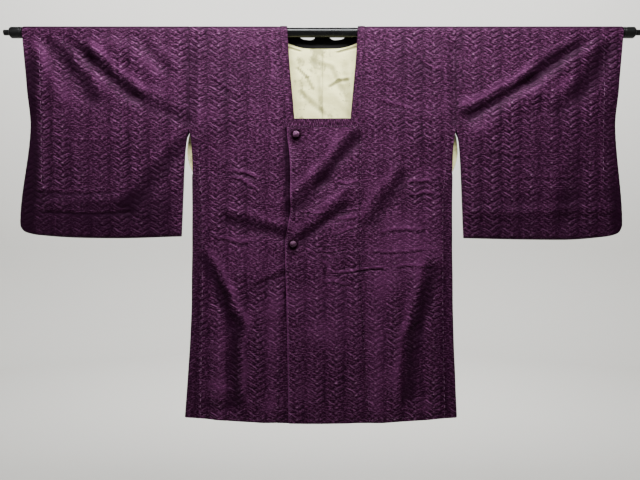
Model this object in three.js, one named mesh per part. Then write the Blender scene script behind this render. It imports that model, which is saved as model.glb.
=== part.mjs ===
// Michiyuki coat hung flat on a rod through its sleeves, in millimetres.
// The origin is the rod's centre. The front faces -Y, up is +Z, and the wearer's left is at +X.
import * as THREE from 'three';

// Cloth and seams
const clothWall = 2.2;
const bandWall = 2.8;
const liningWall = 1.0;
const seamGap = 0.3;
const overlapClearance = 1.3;

// Rod
const rodRadius = 11;
const rodHalfLength = 663.7;
const capRadius = 12.5;
const capLength = 28;
const capBevel = 1.4;
const pinRadius = 6.35;
const pinLength = 14;
const pinBevel = 0.7;
const rodSides = 28;

// Coat
const halfBody = 294;
const armholeDrop = 209;
const slitEndDrop = 312;
const gussetTopDrop = 318;
const centreHemDrop = 863;
const liningHemDrop = 400;
const neckBandWidth = 16.5;
const neckFrontDrop = 193;
const neckCornerDrop = 209.5;
const overlapTopDrop = 212;
const mitreInnerX = 61;
const mitreOuterX = 78.2;
const buttonRadius = 8;

// The cloth rounds the rod at this radius, measured to the middle of its wall
const clothToRod = 0.4;
const foldRadius = rodRadius + clothToRod + clothWall / 2;
const quarterTurn = foldRadius * Math.PI / 2;
const shoulderSegments = 8;

// Half the depth between the front and back of the coat
const gapTable = [
  { drop: 0, half: foldRadius },
  { drop: 200, half: 11.5 },
  { drop: 450, half: 11 },
  { drop: centreHemDrop, half: 12.5 },
];
const sleeveGapTable = [
  { drop: 0, half: foldRadius },
  { drop: 200, half: 11.5 },
  { drop: 330, half: 9 },
  { drop: 460, half: 6 },
];
const sideHalfGap = 4.5;
const sideCloses = { from: 170, to: 285 };
const sideSmooths = { from: 225, to: 262 };
const cuffHalfGap = 1.4;
const cuffCloses = { from: 0.76, to: 1 };
const cuffSmooths = { from: 0.82, to: 0.95 };
const handOpening = { closesFrom: 128, closedBy: 206 };
const bottomSmooths = 40;
const smallestHalfGap = 4.2;

// Outline of each side of the body: the gusset's fold, its seam, and the edges beside the slit
const sideTable = [
  { drop: 0, foldLeft: 294, foldRight: 294, seamLeft: 294, seamRight: 294, backEdge: 294 },
  { drop: 209, foldLeft: 294, foldRight: 294, seamLeft: 294, seamRight: 294, backEdge: 294 },
  { drop: 235, foldLeft: 291, foldRight: 292, seamLeft: 289.5, seamRight: 290, backEdge: 299 },
  { drop: 262, foldLeft: 289, foldRight: 290, seamLeft: 287.5, seamRight: 288, backEdge: 301 },
  { drop: 290, foldLeft: 288, foldRight: 288.5, seamLeft: 285.5, seamRight: 285.5, backEdge: 296 },
  { drop: 312, foldLeft: 287.5, foldRight: 288, seamLeft: 283, seamRight: 283, backEdge: 285 },
  { drop: 370, foldLeft: 287, foldRight: 288, seamLeft: 267, seamRight: 270, backEdge: 268 },
  { drop: 588, foldLeft: 288, foldRight: 289, seamLeft: 267, seamRight: 270, backEdge: 268 },
  { drop: 737, foldLeft: 292.5, foldRight: 296, seamLeft: 268, seamRight: 274, backEdge: 272 },
  { drop: 863, foldLeft: 297, foldRight: 304, seamLeft: 271, seamRight: 279, backEdge: 276 },
];

// Front edge of each body half below the neck, where the overlap is sewn on
const frontSeamTable = [
  { drop: 209.5, x: 80.8 },
  { drop: 526, x: 81 },
  { drop: 650, x: 87 },
  { drop: 863, x: 101 },
];

// Free edges of the two overlaps, each from its own seam across the centre
const overlapEdgeTable = [
  { drop: 212, top: -78.4, under: 76 },
  { drop: 262, top: -74, under: 75 },
  { drop: 312, top: -70.5, under: 74 },
  { drop: 400, top: -72, under: 74 },
  { drop: 478, top: -82.5, under: 75 },
  { drop: 600, top: -79, under: 76 },
  { drop: 863, top: -74, under: 74 },
];

// Hem: how far its sides hang above its middle
const hemLiftTable = [
  { x: 0, lift: 0 },
  { x: 100, lift: 1 },
  { x: 200, lift: 5 },
  { x: 305, lift: 11 },
];

// Neck band: its inner edge and its seam, from the shoulder's crown round to the centre back
const backNeckTable = [
  { innerX: 77.5, innerDrop: 0, seamX: 94, seamDrop: 0 },
  { innerX: 74, innerDrop: 6, seamX: 90.5, seamDrop: 10 },
  { innerX: 65, innerDrop: 13, seamX: 77, seamDrop: 22.5 },
  { innerX: 53, innerDrop: 18, seamX: 59, seamDrop: 31 },
  { innerX: 37, innerDrop: 20.5, seamX: 40, seamDrop: 36 },
  { innerX: 19, innerDrop: 21, seamX: 20, seamDrop: 37.3 },
  { innerX: 0, innerDrop: 21, seamX: 0, seamDrop: 37.5 },
];
const crownSeamX = 94;
const cornerSeamX = 80.8;

// Rows of the back below the neck: the drop at the centre seam and at the armhole
const backFanTable = [
  { centre: 60, side: 110 },
  { centre: 90, side: 130 },
  { centre: 122, side: 152 },
  { centre: 160, side: 178 },
];
const backNeckSideDrops = [0, 13, 28, 44, 60, 76, 92];

// Rows of a front or back panel, and of the stretch beside the neck, by their drop
const lowerDrops = [863, 805, 745, 685, 625, 565, 510, 455, 400, 345, 312, 290, 262, 235];
const neckDrops = [209.5, 175, 140, 105, 70, 40, 16];

// Sleeves: bottom edge and cuff
const sleeveBottomTable = [
  { across: 0, left: 455.5, right: 451.5 },
  { across: 0.4, left: 458.5, right: 455.5 },
  { across: 0.62, left: 459, right: 454.5 },
  { across: 0.89, left: 452, right: 448 },
  { across: 0.962, left: 446, right: 442 },
  { across: 0.988, left: 438, right: 435 },
  { across: 1, left: 425, right: 424 },
];
const cuffTable = [
  { drop: 0, left: 662, right: 661 },
  { drop: 198, left: 649, right: 647 },
  { drop: 424, left: 664.5, right: 670 },
  { drop: 470, left: 664.5, right: 670 },
];
const sleeveEdgeTable = [
  { drop: 0, front: 294, back: 294 },
  { drop: 209, front: 294, back: 294 },
  { drop: 235, front: 299, back: 303 },
  { drop: 262, front: 302, back: 306 },
  { drop: 300, front: 305, back: 308 },
  { drop: 470, front: 312, back: 314 },
];
const sleeveColumns = [0, 0.09, 0.18, 0.27, 0.36, 0.45, 0.54, 0.63, 0.72, 0.81, 0.89, 0.962, 0.988, 1];
const sleeveRows = [0, 0.09, 0.18, 0.27, 0.36, 0.44, 0.5, 0.56, 0.64, 0.72, 0.8, 0.88, 0.95, 1];
const bottomSegments = 4;

// Gusset: where its flat part has points, as shares of its width, and the steps of its fold
const gussetShares = [0, 0.55];
const gussetFoldSegments = 6;
const gussetLeastFlat = 1;

// Largest folds, as troughs (height below 0) and ridges, from one end to the other
const frontFolds = [
  { x1: -557, drop1: 8, x2: -402, drop2: 134, width: 22, height: -4.5 },
  { x1: -402, drop1: 134, x2: -305, drop2: 190, width: 24, height: -3 },
  { x1: -500, drop1: 10, x2: -360, drop2: 90, width: 26, height: 3 },
  { x1: -305, drop1: 249, x2: -437, drop2: 382, width: 26, height: -3 },
  { x1: -630, drop1: 380, x2: -440, drop2: 372, width: 20, height: 2.5 },
  { x1: 576, drop1: 10, x2: 327, drop2: 185, width: 24, height: -5 },
  { x1: 590, drop1: 55, x2: 350, drop2: 232, width: 26, height: 3 },
  { x1: 637, drop1: 39, x2: 559, drop2: 128, width: 22, height: -3 },
  { x1: 560, drop1: 300, x2: 520, drop2: 410, width: 26, height: -2.5 },
  { x1: -262, drop1: 522, x2: -165, drop2: 633, width: 26, height: -5 },
  { x1: -165, drop1: 633, x2: -187, drop2: 816, width: 28, height: -5 },
  { x1: -120, drop1: 590, x2: -132, drop2: 850, width: 26, height: 4 },
  { x1: -232, drop1: 640, x2: -238, drop2: 850, width: 24, height: 3.5 },
  { x1: 236, drop1: 548, x2: 204, drop2: 657, width: 24, height: -4.5 },
  { x1: 204, drop1: 657, x2: 183, drop2: 803, width: 26, height: -4.5 },
  { x1: 140, drop1: 560, x2: 128, drop2: 850, width: 26, height: 3.5 },
  { x1: 240, drop1: 660, x2: 238, drop2: 850, width: 22, height: 3 },
  { x1: 71, drop1: 237, x2: -6, drop2: 335, width: 24, height: -3 },
  { x1: -6, drop1: 335, x2: -56, drop2: 442, width: 24, height: -3 },
  { x1: 171, drop1: 316, x2: 107, drop2: 420, width: 24, height: -3.5 },
  { x1: -198, drop1: 415, x2: -95, drop2: 442, width: 22, height: -3 },
];
const backFolds = [
  { x1: -470, drop1: 15, x2: -312, drop2: 170, width: 24, height: -4.5 },
  { x1: -560, drop1: 210, x2: -430, drop2: 390, width: 28, height: -3 },
  { x1: 455, drop1: 12, x2: 318, drop2: 178, width: 24, height: -4.5 },
  { x1: 600, drop1: 60, x2: 480, drop2: 240, width: 26, height: -3.5 },
  { x1: 540, drop1: 330, x2: 400, drop2: 400, width: 24, height: 2.5 },
  { x1: -150, drop1: 300, x2: -196, drop2: 520, width: 28, height: -4 },
  { x1: -196, drop1: 520, x2: -176, drop2: 830, width: 28, height: -4.5 },
  { x1: -95, drop1: 500, x2: -112, drop2: 850, width: 28, height: 4 },
  { x1: 118, drop1: 260, x2: 166, drop2: 470, width: 26, height: -3.5 },
  { x1: 166, drop1: 470, x2: 206, drop2: 820, width: 28, height: -4.5 },
  { x1: 96, drop1: 560, x2: 116, drop2: 850, width: 28, height: 3.5 },
  { x1: -240, drop1: 640, x2: -246, drop2: 850, width: 22, height: 3 },
];
const foldFadeDrop = 50;

// Buttons on the left overlap
const buttonTable = [
  { name: 'button_upper', x: -58, drop: 228 },
  { name: 'button_lower', x: -65, drop: 469 },
];

function smoothStep(from, to, value) {
  return THREE.MathUtils.smoothstep(value, from, to);
}

function mix(from, to, share) {
  return from + (to - from) * share;
}

// Reads a column of a table whose rows rise in their first column
function lookUp(table, key, value, column) {
  for (let i = 1; i < table.length; i += 1) {
    const low = table[i - 1];
    const high = table[i];
    if (value <= high[key] || i === table.length - 1) {
      const share = THREE.MathUtils.clamp((value - low[key]) / (high[key] - low[key]), 0, 1);
      return mix(low[column], high[column], share);
    }
  }
  return table[0][column];
}

// Height of the folds at a place, fading out near the rod
function foldHeight(folds, x, drop) {
  const place = new THREE.Vector2(x, drop);
  const start = new THREE.Vector2();
  const along = new THREE.Vector2();
  let height = 0;
  for (const fold of folds) {
    start.set(fold.x1, fold.drop1);
    along.set(fold.x2, fold.drop2).sub(start);
    const share = THREE.MathUtils.clamp(place.clone().sub(start).dot(along) / along.lengthSq(), 0, 1);
    const distance = place.distanceTo(start.addScaledVector(along, share));
    height += fold.height * Math.exp(-((distance / fold.width) ** 2));
  }
  return height * smoothStep(0, foldFadeDrop, drop);
}

// Half the depth of the body, which closes up towards its sides below the armholes
function bodyHalfGap(x, drop) {
  const half = lookUp(gapTable, 'drop', drop, 'half');
  const across = smoothStep(sideCloses.from, sideCloses.to, Math.abs(x));
  const closing = across * smoothStep(armholeDrop, slitEndDrop, drop);
  return mix(half, sideHalfGap, closing);
}

// Folds flatten towards the body's sides, so that the gusset lies smooth
function sideCalm(x, drop) {
  const across = smoothStep(sideSmooths.from, sideSmooths.to, Math.abs(x));
  return 1 - across * smoothStep(armholeDrop, slitEndDrop, drop);
}

// A place on the middle of the body's cloth, by its x and its length from the crown,
// which is below 0 on the front and above 0 on the back
function bodyPlace(x, length) {
  const side = length < 0 ? -1 : 1;
  const reach = Math.abs(length);
  if (reach <= quarterTurn) {
    const angle = reach / foldRadius;
    return new THREE.Vector3(x, side * foldRadius * Math.sin(angle), foldRadius * Math.cos(angle));
  }
  const drop = reach - quarterTurn;
  const folds = side < 0 ? frontFolds : backFolds;
  const height = foldHeight(folds, x, drop) * sideCalm(x, drop);
  const limit = Math.min(smallestHalfGap, bodyHalfGap(x, drop));
  const half = Math.max(bodyHalfGap(x, drop) + height, limit);
  return new THREE.Vector3(x, side * half, -drop);
}

// The direction out of the cloth at that place
function bodyOutward(x, length) {
  const step = 1;
  const across = bodyPlace(x + step, length).sub(bodyPlace(x - step, length));
  const over = bodyPlace(x, length + step).sub(bodyPlace(x, length - step));
  return across.cross(over).normalize();
}

function liftedPlace(x, length, lift) {
  return bodyPlace(x, length).addScaledVector(bodyOutward(x, length), lift);
}

function frontLength(drop) {
  return -(quarterTurn + drop);
}

function backLength(drop) {
  return quarterTurn + drop;
}

function hemDrop(x) {
  return centreHemDrop - lookUp(hemLiftTable, 'x', Math.abs(x), 'lift');
}

// Turns the faces of a closed geometry outward where they point in
function facingOut(geometry) {
  const position = geometry.attributes.position;
  const index = geometry.index.array;
  const a = new THREE.Vector3();
  const b = new THREE.Vector3();
  const c = new THREE.Vector3();
  let volume = 0;
  for (let i = 0; i < index.length; i += 3) {
    a.fromBufferAttribute(position, index[i]);
    b.fromBufferAttribute(position, index[i + 1]);
    c.fromBufferAttribute(position, index[i + 2]);
    volume += a.dot(b.cross(c));
  }
  if (volume < 0) {
    for (let i = 0; i < index.length; i += 3) {
      const second = index[i + 1];
      index[i + 1] = index[i + 2];
      index[i + 2] = second;
    }
  }
  return geometry;
}

// A closed wall of cloth between two grids of places, its outer and its inner face.
// A ring's rows join end to start, and other walls have an edge on all four sides.
function wallGeometry(outer, inner, isRing) {
  const rows = outer.length;
  const columns = outer[0].length;
  const places = [...outer.flat(), ...inner.flat()];
  const innerStart = rows * columns;
  const index = [];
  const quad = (a, b, c, d) => index.push(a, b, c, a, c, d);
  const rowSteps = isRing ? rows : rows - 1;
  for (let i = 0; i < rowSteps; i += 1) {
    const next = (i + 1) % rows;
    for (let j = 0; j < columns - 1; j += 1) {
      const corners = [i * columns + j, i * columns + j + 1, next * columns + j + 1, next * columns + j];
      const [a, b, c, d] = corners.map((corner) => corner + innerStart);
      quad(...corners);
      quad(a, d, c, b);
    }
    for (const [from, to, column] of [[next, i, 0], [i, next, columns - 1]]) {
      const first = from * columns + column;
      const second = to * columns + column;
      quad(second, first, first + innerStart, second + innerStart);
    }
  }
  if (!isRing) {
    for (let j = 0; j < columns - 1; j += 1) {
      const last = (rows - 1) * columns + j;
      quad(j + 1, j, j + innerStart, j + 1 + innerStart);
      quad(last, last + 1, last + 1 + innerStart, last + innerStart);
    }
  }
  const geometry = new THREE.BufferGeometry();
  geometry.setAttribute('position', new THREE.Float32BufferAttribute(places.flatMap((p) => p.toArray()), 3));
  geometry.setIndex(index);
  return facingOut(geometry);
}

// A wall that lies on the body's form: rows run from one flat point to the other,
// and lift moves the middle of the wall out of the body's cloth
function bodyWall(rows, columns, wall, lift) {
  const outer = [];
  const inner = [];
  for (const row of rows) {
    const outerRow = [];
    const innerRow = [];
    for (let j = 0; j <= columns; j += 1) {
      const share = j / columns;
      const x = mix(row.x1, row.x2, share);
      const length = mix(row.length1, row.length2, share);
      const middle = lift(x, length);
      outerRow.push(liftedPlace(x, length, middle + wall / 2));
      innerRow.push(liftedPlace(x, length, middle - wall / 2));
    }
    outer.push(outerRow);
    inner.push(innerRow);
  }
  return wallGeometry(outer, inner, false);
}

// The seam beside the neck on the front and over the crown
function neckSeamX(length) {
  return mix(crownSeamX, cornerSeamX, Math.min(1, Math.max(0, -length) / -frontLength(neckCornerDrop)));
}

function crownLengths() {
  const lengths = [];
  for (let i = 1; i < shoulderSegments; i += 1) {
    lengths.push(mix(-quarterTurn, quarterTurn, i / shoulderSegments));
  }
  return lengths;
}

// The lengths of the rows beside the neck, from its front corner to the back of the crown
function neckLengths() {
  return [...neckDrops.map(frontLength), frontLength(0), ...crownLengths(), backLength(0)];
}

// One half of the body, front and back in one
function bodyRows(sign) {
  const seam = sign > 0 ? 'seamLeft' : 'seamRight';
  const rows = [];
  const edge = seamGap / 2;
  const sideX = (drop, column) => lookUp(sideTable, 'drop', drop, column) - edge;
  for (const drop of lowerDrops) {
    const innerX = lookUp(frontSeamTable, 'drop', drop, 'x') + edge;
    const outerX = sideX(drop, seam);
    const lift = drop === centreHemDrop;
    rows.push({
      x1: sign * innerX,
      length1: frontLength(lift ? hemDrop(innerX) : drop),
      x2: sign * outerX,
      length2: frontLength(lift ? hemDrop(outerX) : drop),
    });
  }
  for (const length of neckLengths()) {
    rows.push({
      x1: sign * (neckSeamX(length) + edge),
      length1: length,
      x2: sign * (halfBody - edge),
      length2: length,
    });
  }
  for (let i = 1; i < backNeckTable.length; i += 1) {
    const { seamX, seamDrop } = backNeckTable[i];
    rows.push({
      x1: sign * Math.max(seamX + edge, edge),
      length1: backLength(seamDrop + edge),
      x2: sign * (halfBody - edge),
      length2: backLength(backNeckSideDrops[i]),
    });
  }
  for (const { centre, side } of backFanTable) {
    rows.push({
      x1: sign * edge,
      length1: backLength(centre),
      x2: sign * (halfBody - edge),
      length2: backLength(side),
    });
  }
  for (const drop of [armholeDrop, ...lowerDrops.slice().reverse()]) {
    const outerX = sideX(drop, 'backEdge');
    const lift = drop === centreHemDrop;
    rows.push({
      x1: sign * edge,
      length1: backLength(drop),
      x2: sign * outerX,
      length2: backLength(lift ? hemDrop(outerX) : drop),
    });
  }
  return rows;
}

// The lining lies on the inside of the back, from the neck's seam to its own hem
function liningRows(sign) {
  const lowest = backLength(liningHemDrop);
  return bodyRows(sign).filter((row) => row.length2 > hiddenByRod && row.length1 <= lowest);
}

// Each overlap runs from its seam to its free edge across the centre
function overlapRows(isTop) {
  const sign = isTop ? 1 : -1;
  const column = isTop ? 'top' : 'under';
  const drops = [overlapTopDrop, ...lowerDrops.slice().reverse()];
  return drops.map((drop) => {
    const seam = { x: sign * (lookUp(frontSeamTable, 'drop', drop, 'x') - seamGap / 2), drop };
    const free = { x: lookUp(overlapEdgeTable, 'drop', drop, column), drop };
    if (drop === centreHemDrop) {
      seam.drop = hemDrop(seam.x);
      free.drop = hemDrop(free.x);
    }
    if (drop === overlapTopDrop && isTop) {
      seam.drop = neckCornerDrop + seamGap;
    }
    const [first, second] = isTop ? [free, seam] : [seam, free];
    return {
      x1: first.x,
      length1: frontLength(first.drop),
      x2: second.x,
      length2: frontLength(second.drop),
    };
  });
}

// The top overlap lies over the under one, and the two pass each other before the left seam
const overlapLift = clothWall + overlapClearance;
const topReturns = { from: 48, to: 80 };
const underSinks = { from: 30, to: 58 };

function topLift(x) {
  return overlapLift * (1 - smoothStep(topReturns.from, topReturns.to, x));
}

function underLift(x) {
  return -overlapLift * smoothStep(underSinks.from, underSinks.to, x);
}

// The band's side and back part is one strip from corner to corner
function neckBandRows() {
  const edge = seamGap / 2;
  const half = [];
  for (const length of neckLengths()) {
    const seamX = neckSeamX(length) - edge;
    const atCorner = length === frontLength(neckCornerDrop);
    half.push({
      x1: seamX - neckBandWidth,
      length1: atCorner ? frontLength(neckFrontDrop) : length,
      x2: seamX,
      length2: length,
    });
  }
  for (const row of backNeckTable.slice(1)) {
    half.push({
      x1: row.innerX,
      length1: backLength(row.innerDrop),
      x2: Math.max(row.seamX - edge, 0),
      length2: backLength(row.seamDrop - edge),
    });
  }
  const mirrored = half.slice(0, -1).reverse();
  return [...half, ...mirrored.map((row) => ({ ...row, x1: -row.x1, x2: -row.x2 }))];
}

// The facing and the lining start just behind the rod
const hiddenByRod = quarterTurn + 1;

function facingRows() {
  return neckBandRows().filter((row) => row.length2 > hiddenByRod);
}

// The front band goes from the chamfered corner of the overlap to the mitre of the side band
function frontBandRows() {
  const innerX = cornerSeamX - neckBandWidth - seamGap;
  const outerX = cornerSeamX - 3 * seamGap;
  const upper = frontLength(neckFrontDrop);
  return [
    { x1: -mitreInnerX, length1: upper, x2: innerX, length2: upper },
    {
      x1: -mitreOuterX,
      length1: frontLength(overlapTopDrop - seamGap),
      x2: outerX,
      length2: frontLength(neckCornerDrop - seamGap / 2),
    },
  ];
}

// The gusset's plan goes from the front seam round its outer fold to the back seam
function gussetWall(sign) {
  const fold = sign > 0 ? 'foldLeft' : 'foldRight';
  const seam = sign > 0 ? 'seamLeft' : 'seamRight';
  const edge = seamGap / 2;
  const drops = [gussetTopDrop, ...lowerDrops.filter((drop) => drop > gussetTopDrop).reverse()];
  const plan = (drop, offset) => {
    const foldX = lookUp(sideTable, 'drop', drop, fold);
    const centreX = foldX - sideHalfGap;
    const places = [];
    const flat = (x, side) => {
      const lowest = drop === centreHemDrop ? hemDrop(x) : drop;
      const half = bodyHalfGap(x, lowest) + offset;
      places.push(new THREE.Vector3(sign * x, side * half, -lowest));
    };
    const frontX = lookUp(sideTable, 'drop', drop, seam) + edge;
    const backX = lookUp(sideTable, 'drop', drop, 'backEdge') + edge;
    for (const share of gussetShares) {
      flat(mix(frontX, Math.max(centreX, frontX + gussetLeastFlat), share), -1);
    }
    for (let i = 0; i <= gussetFoldSegments; i += 1) {
      const angle = Math.PI * (i / gussetFoldSegments - 0.5);
      const radius = sideHalfGap + offset;
      const x = centreX + radius * Math.cos(angle);
      const lowest = drop === centreHemDrop ? hemDrop(x) : drop;
      places.push(new THREE.Vector3(sign * x, radius * Math.sin(angle), -lowest));
    }
    for (const share of gussetShares.slice().reverse()) {
      flat(mix(backX, Math.max(centreX, backX + gussetLeastFlat), share), 1);
    }
    return places;
  };
  const outer = drops.map((drop) => plan(drop, clothWall / 2));
  const inner = drops.map((drop) => plan(drop, -clothWall / 2));
  return wallGeometry(outer, inner, false);
}

// A sleeve is a flat tube: each ring goes down its front, round the bottom and up its back
function sleeveWall(sign) {
  const column = sign > 0 ? 'left' : 'right';
  const edge = seamGap / 2;
  const halfGap = (across, drop) => {
    const open = lookUp(sleeveGapTable, 'drop', drop, 'half');
    const closing = smoothStep(handOpening.closesFrom, handOpening.closedBy, drop);
    return mix(open, cuffHalfGap, closing * smoothStep(cuffCloses.from, cuffCloses.to, across));
  };
  const place = (across, drop, side, half) => {
    const edgeColumn = side < 0 ? 'front' : 'back';
    const innerX = lookUp(sleeveEdgeTable, 'drop', drop, edgeColumn) + edge;
    const outerX = lookUp(cuffTable, 'drop', drop, column);
    return new THREE.Vector3(sign * mix(innerX, outerX, across), side * half, -drop);
  };
  const rings = sleeveColumns.map((across) => {
    const bottom = lookUp(sleeveBottomTable, 'across', across, column);
    const bottomRadius = halfGap(across, bottom);
    const straight = bottom - bottomRadius;
    const ring = [];
    const face = (share, side) => {
      const drop = share * straight;
      const flatPlace = place(across, drop, side, 1);
      const cuffCalm = 1 - smoothStep(cuffSmooths.from, cuffSmooths.to, across);
      const calm = cuffCalm * smoothStep(0, bottomSmooths, straight - drop);
      const folds = side < 0 ? frontFolds : backFolds;
      const open = halfGap(across, drop);
      const least = Math.min(open, smallestHalfGap);
      const half = Math.max(open + calm * foldHeight(folds, flatPlace.x, drop), least);
      ring.push(place(across, drop, side, half));
    };
    sleeveRows.forEach((share) => face(share, -1));
    for (let i = 1; i < bottomSegments; i += 1) {
      const angle = Math.PI * i / bottomSegments;
      const side = Math.cos(angle) > 0 ? -1 : 1;
      const half = bottomRadius * Math.abs(Math.cos(angle));
      ring.push(place(across, straight + bottomRadius * Math.sin(angle), side, half));
    }
    sleeveRows.slice().reverse().forEach((share) => face(share, 1));
    for (let i = 1; i < shoulderSegments; i += 1) {
      const angle = Math.PI * i / shoulderSegments;
      const x = place(across, 0, 1, 0).x;
      ring.push(new THREE.Vector3(x, foldRadius * Math.cos(angle), foldRadius * Math.sin(angle)));
    }
    return ring;
  });
  const count = rings[0].length;
  const outer = [];
  const inner = [];
  for (let i = 0; i < count; i += 1) {
    const outerRow = [];
    const innerRow = [];
    for (let j = 0; j < rings.length; j += 1) {
      const before = rings[Math.max(j - 1, 0)][i];
      const after = rings[Math.min(j + 1, rings.length - 1)][i];
      const across = after.clone().sub(before).multiplyScalar(sign);
      const around = rings[j][(i + 1) % count].clone().sub(rings[j][(i + count - 1) % count]);
      const outward = around.cross(across).normalize();
      outerRow.push(rings[j][i].clone().addScaledVector(outward, clothWall / 2));
      innerRow.push(rings[j][i].clone().addScaledVector(outward, -clothWall / 2));
    }
    outer.push(outerRow);
    inner.push(innerRow);
  }
  return wallGeometry(outer, inner, true);
}

// A turned shape along +Y from its profile of radius and height, which starts and ends on the axis
function turned(profile, sides) {
  return new THREE.LatheGeometry(profile.map(([radius, height]) => new THREE.Vector2(radius, height)), sides);
}

// A ball button with a short flat foot, pressed a little flat like a cloth-covered mould
const buttonFootRadius = 4.6;
const buttonFootHeight = 1.2;
const buttonCentreHeight = 7;
const buttonHalfHeight = 6.6;
const buttonStartAngle = -0.93;
const buttonSteps = 8;
const buttonSides = 14;

function buttonGeometry() {
  const profile = [[0, 0], [buttonFootRadius, 0], [buttonFootRadius, buttonFootHeight]];
  for (let i = 1; i < buttonSteps; i += 1) {
    const angle = mix(buttonStartAngle, Math.PI / 2, i / buttonSteps);
    profile.push([buttonRadius * Math.cos(angle), buttonCentreHeight + buttonHalfHeight * Math.sin(angle)]);
  }
  profile.push([0, buttonCentreHeight + buttonHalfHeight]);
  return turned(profile, buttonSides);
}

const coat = new THREE.Group();

const clothFinish = { color: 0x461f3a, roughness: 0.6, metalness: 0 };
const bandFinish = { color: 0x4c2340, roughness: 0.55, metalness: 0 };
const liningFinish = { color: 0xdedcbe, roughness: 0.6, metalness: 0 };
const facingFinish = { color: 0x0d0d0f, roughness: 0.5, metalness: 0 };
const buttonFinish = { color: 0x4a203c, roughness: 0.5, metalness: 0 };
const rodFinish = { color: 0x0b0b0c, roughness: 0.3, metalness: 0.2 };

function addPiece(name, geometry, finish) {
  const piece = new THREE.Mesh(geometry, new THREE.MeshStandardMaterial(finish));
  piece.name = name;
  coat.add(piece);
  return piece;
}

// Rod, along X
const pipe = addPiece('rod_pipe', turned([
  [0, -rodHalfLength],
  [rodRadius, -rodHalfLength],
  [rodRadius, rodHalfLength],
  [0, rodHalfLength],
], rodSides), rodFinish);
pipe.rotation.z = -Math.PI / 2;
for (const [name, sign] of [['rod_cap_left', 1], ['rod_cap_right', -1]]) {
  const capEnd = capLength;
  const pinEnd = capEnd + pinLength;
  const cap = addPiece(name, turned([
    [0, 0],
    [capRadius - capBevel, 0],
    [capRadius, capBevel],
    [capRadius, capEnd - capBevel],
    [capRadius - capBevel, capEnd],
    [pinRadius, capEnd],
    [pinRadius, pinEnd - pinBevel],
    [pinRadius - pinBevel, pinEnd],
    [0, pinEnd],
  ], rodSides), rodFinish);
  cap.rotation.z = -sign * Math.PI / 2;
  cap.position.x = sign * (rodHalfLength + seamGap);
}

// Body halves, sleeves, gussets and the lining of the back
const liningLift = -(clothWall / 2 + seamGap + liningWall / 2);
for (const [side, sign] of [['left', 1], ['right', -1]]) {
  addPiece(`body_${side}`, bodyWall(bodyRows(sign), 8, clothWall, () => 0), clothFinish);
  addPiece(`sleeve_${side}`, sleeveWall(sign), clothFinish);
  addPiece(`side_gusset_${side}`, gussetWall(sign), clothFinish);
  addPiece(`back_lining_${side}`, bodyWall(liningRows(sign), 8, liningWall, () => liningLift), liningFinish);
}

// Front overlaps
addPiece('front_overlap_left', bodyWall(overlapRows(true), 9, clothWall, topLift), clothFinish);
addPiece('front_overlap_right', bodyWall(overlapRows(false), 9, clothWall, underLift), clothFinish);

// Neck band and facing
const bandLift = (bandWall - clothWall) / 2;
const frontBandLift = (x) => topLift(x) + bandLift;
addPiece('neck_band', bodyWall(neckBandRows(), 2, bandWall, () => bandLift), bandFinish);
addPiece('neck_band_front', bodyWall(frontBandRows(), 7, bandWall, frontBandLift), bandFinish);
addPiece('back_neck_facing', bodyWall(facingRows(), 2, liningWall, () => liningLift), facingFinish);

// Buttons stand on the left overlap's face
for (const { name, x, drop } of buttonTable) {
  const length = frontLength(drop);
  const button = addPiece(name, buttonGeometry(), buttonFinish);
  const outward = bodyOutward(x, length);
  button.position.copy(liftedPlace(x, length, overlapLift + clothWall / 2 + seamGap));
  button.quaternion.setFromUnitVectors(new THREE.Vector3(0, 1, 0), outward);
}

export default coat;
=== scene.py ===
import math

import bpy
import numpy as np
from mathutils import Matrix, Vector


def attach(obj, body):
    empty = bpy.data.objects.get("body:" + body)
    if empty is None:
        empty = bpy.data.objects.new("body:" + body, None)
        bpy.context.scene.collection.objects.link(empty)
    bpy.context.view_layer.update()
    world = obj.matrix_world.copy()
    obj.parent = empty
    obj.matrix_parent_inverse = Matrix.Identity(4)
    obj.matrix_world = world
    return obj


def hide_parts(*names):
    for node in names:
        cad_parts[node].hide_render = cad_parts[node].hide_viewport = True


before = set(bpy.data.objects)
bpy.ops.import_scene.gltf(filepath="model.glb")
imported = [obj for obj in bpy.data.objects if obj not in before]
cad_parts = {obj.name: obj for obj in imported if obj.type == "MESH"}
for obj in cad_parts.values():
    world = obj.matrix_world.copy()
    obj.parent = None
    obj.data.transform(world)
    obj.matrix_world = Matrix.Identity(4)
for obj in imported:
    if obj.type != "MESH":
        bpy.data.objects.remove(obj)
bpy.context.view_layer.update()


# The rod is a drawn steel pipe, 22 mm across, sprayed gloss black. It carries the coat through
# both sleeves, and a moulded black cap with a thin pin is pressed on each end.
MM = 0.001
ROD_RADIUS = 11.0
ROD_HALF_LENGTH = 663.7
ROD_BEVEL = 0.8
ROD_SIDES = 72
CAP_START = 664.0
CAP_END = 692.0
CAP_RADIUS = 12.5
CAP_BEVEL = 1.0
CAP_TAPER = (3.0, 2.4)
GROOVE = (4.2, 1.0, 0.5)
PIN_RADIUS = 6.35
PIN_END = 706.0


def placed(name, data):
    made = bpy.data.objects.new(name, data)
    bpy.context.scene.collection.objects.link(made)
    return made


def new_mesh(name, points, faces, more_faces=()):
    mesh = bpy.data.meshes.new(name)
    mesh.from_pydata([tuple(p) for p in points], [], [tuple(f) for f in [*faces, *more_faces]])
    mesh.polygons.foreach_set("use_smooth", [True] * len(mesh.polygons))
    mesh.update()
    return placed(name, mesh)


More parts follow.
